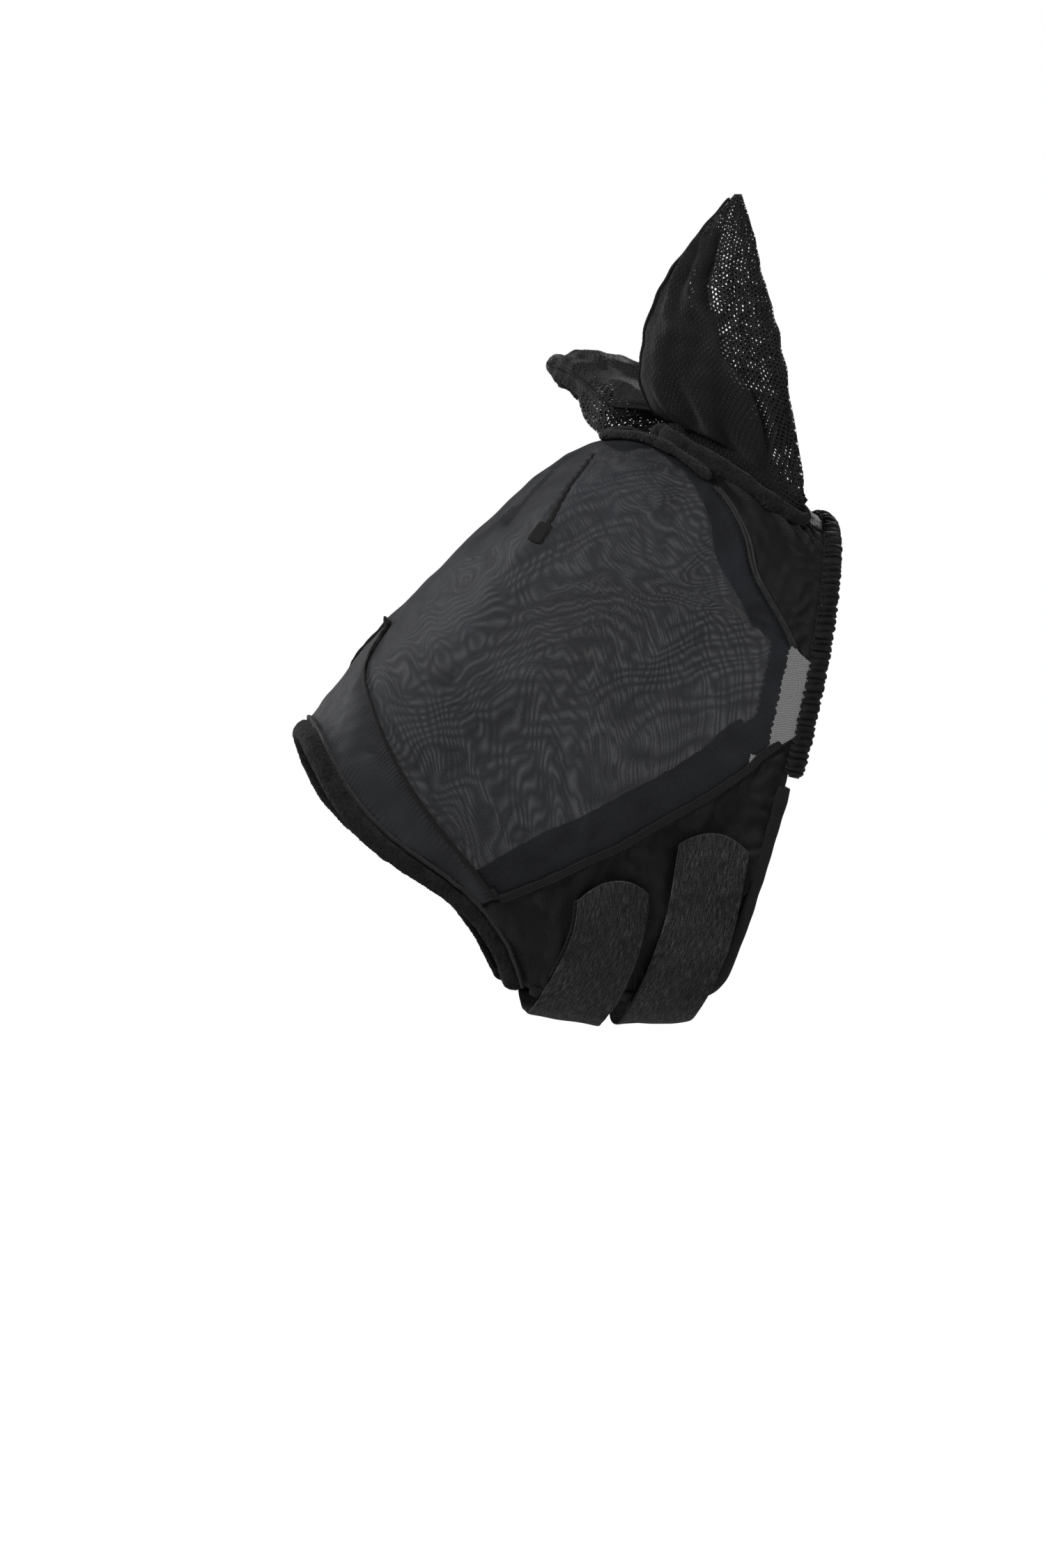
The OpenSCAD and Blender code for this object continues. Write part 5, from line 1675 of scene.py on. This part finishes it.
def area_light(name, at, aim, size, power, colour=(1, 1, 1)):
    data = bpy.data.lights.new(name, "AREA")
    data.shape, data.size, data.size_y, data.energy, data.color = "RECTANGLE", size[0], size[1], power, colour
    obj = bpy.data.objects.new(name, data)
    obj.location = at
    obj.rotation_euler = (Vector(aim) - Vector(at)).to_track_quat("-Z", "Y").to_euler()
    bpy.context.scene.collection.objects.link(obj)
    return obj


class FlyMaskStageSetup(bpy.types.Operator):
    """Stage: a plain pale floor, white surroundings, large soft lights and the camera"""
    bl_idname = "fly_mask.stage"
    bl_label = "Stage"

    def execute(self, context):
        scene, st = context.scene, context.scene.fly_mask_stage
        if scene.world is None:
            scene.world = bpy.data.worlds.new("Studio")
        scene.world.use_nodes = True
        tree = scene.world.node_tree
        seen = node(tree, "ShaderNodeLightPath").outputs["Is Camera Ray"]
        ground = tree.nodes["Background"]
        ground.inputs[0].default_value = (1, 1, 1, 1)
        tree.links.new(remap(tree, seen, 0.0, 1.0, st.surround, 1.0), ground.inputs[1])
        scene.view_settings.view_transform = "Standard"
        scene.view_settings.look = "None"

        a, e = math.radians(st.azimuth), math.radians(st.elevation)
        right = Vector((math.cos(a), math.sin(a), 0))
        back = Vector((math.sin(a) * math.cos(e), -math.cos(a) * math.cos(e), math.sin(e)))
        up = back.cross(right)
        aim = right * st.aim_across + up * st.aim_up
        camera = bpy.data.objects.new("camera", bpy.data.cameras.new("camera"))
        camera.data.lens, camera.data.sensor_width = st.lens, 36
        distance = st.view_height * st.lens / 36
        camera.data.clip_end = 100
        camera.location = aim + back * distance
        camera.rotation_euler = back.to_track_quat("Z", "Y").to_euler()
        scene.collection.objects.link(camera)
        scene.camera = camera

        floor = bpy.data.meshes.new("floor")
        r = 30.0
        corners = [(x, y, st.floor_height) for x, y in ((-r, -r), (r, -r), (r, r), (-r, r))]
        floor.from_pydata(corners, [], [(0, 1, 2, 3)])
        paint = bpy.data.materials.new("floor")
        paint.use_nodes = True
        shader = paint.node_tree.nodes["Principled BSDF"]
        paints = {"Base Color": rgba(st.floor_colour), "Roughness": 0.9, "Emission Color": (1, 1, 1, 1)}
        for key, value in paints.items():
            shader.inputs[key].default_value = value
        seen = node(paint.node_tree, "ShaderNodeLightPath").outputs["Is Camera Ray"]
        glow = remap(paint.node_tree, seen, 0.0, 1.0, 0.0, 0.96)
        paint.node_tree.links.new(glow, shader.inputs["Emission Strength"])
        floor.materials.append(paint)
        floor = bpy.data.objects.new("floor", floor)
        scene.collection.objects.link(floor)
        middle = Vector((-0.14, 0, -0.1))
        key = area_light("key light", middle + Vector((-1.2, -1.2, 1.5)), middle, (0.6, 0.6), st.key_light)
        fill = area_light("fill light", middle + Vector((1.5, -1.2, 0.5)), middle, (1.2, 1.2), st.fill_light)
        rear = area_light("rear light", middle + Vector((1.1, 1.5, 1.1)), middle, (0.9, 0.9), st.rear_light)
        off = area_light("off side light", middle + Vector((-1.4, 1.3, 0.7)), middle, (0.9, 0.9),
            st.rear_light * 0.6)
        return {"FINISHED"}


# ---- Panel and registration -----------------------------------------------------------------------

PIECES = (
    FlyMaskNet, FlyMaskDarts, FlyMaskNosePanel, FlyMaskNoseEdge, FlyMaskFleece, FlyMaskJaw, FlyMaskCrown,
    FlyMaskRearEdge, FlyMaskStraps, FlyMaskEars, FlyMaskStageSetup,
)


class FLYMASK_PT_build(bpy.types.Panel):
    """Lists the operators that build the fly mask and the settings that they read"""
    bl_idname = "FLYMASK_PT_build"
    bl_label = "Horse fly mask"
    bl_space_type = "VIEW_3D"
    bl_region_type = "UI"
    bl_category = "Fly mask"

    def draw(self, context):
        for piece in PIECES:
            self.layout.operator(piece.bl_idname)
        scene = context.scene
        for settings in (scene.fly_mask_sizes, scene.fly_mask_colours, scene.fly_mask_stage):
            box = self.layout.box()
            for key in settings.__annotations__:
                box.prop(settings, key)


CLASSES = (FlyMaskSizes, FlyMaskColours, FlyMaskStage) + PIECES + (FLYMASK_PT_build,)
GROUPED = (("fly_mask_sizes", FlyMaskSizes), ("fly_mask_colours", FlyMaskColours),
    ("fly_mask_stage", FlyMaskStage))


def register():
    for c in CLASSES:
        bpy.utils.register_class(c)
    for key, kind in GROUPED:
        setattr(bpy.types.Scene, key, bpy.props.PointerProperty(type=kind))


def unregister():
    for key, _ in GROUPED:
        delattr(bpy.types.Scene, key)
    for c in reversed(CLASSES):
        bpy.utils.unregister_class(c)


def main():
    register()
    for piece in PIECES:
        space, name = piece.bl_idname.split(".")
        result = getattr(getattr(bpy.ops, space), name)()
        if result != {"FINISHED"}:
            raise RuntimeError(piece.bl_label + " wasn't built")


if __name__ == "__main__":
    main()
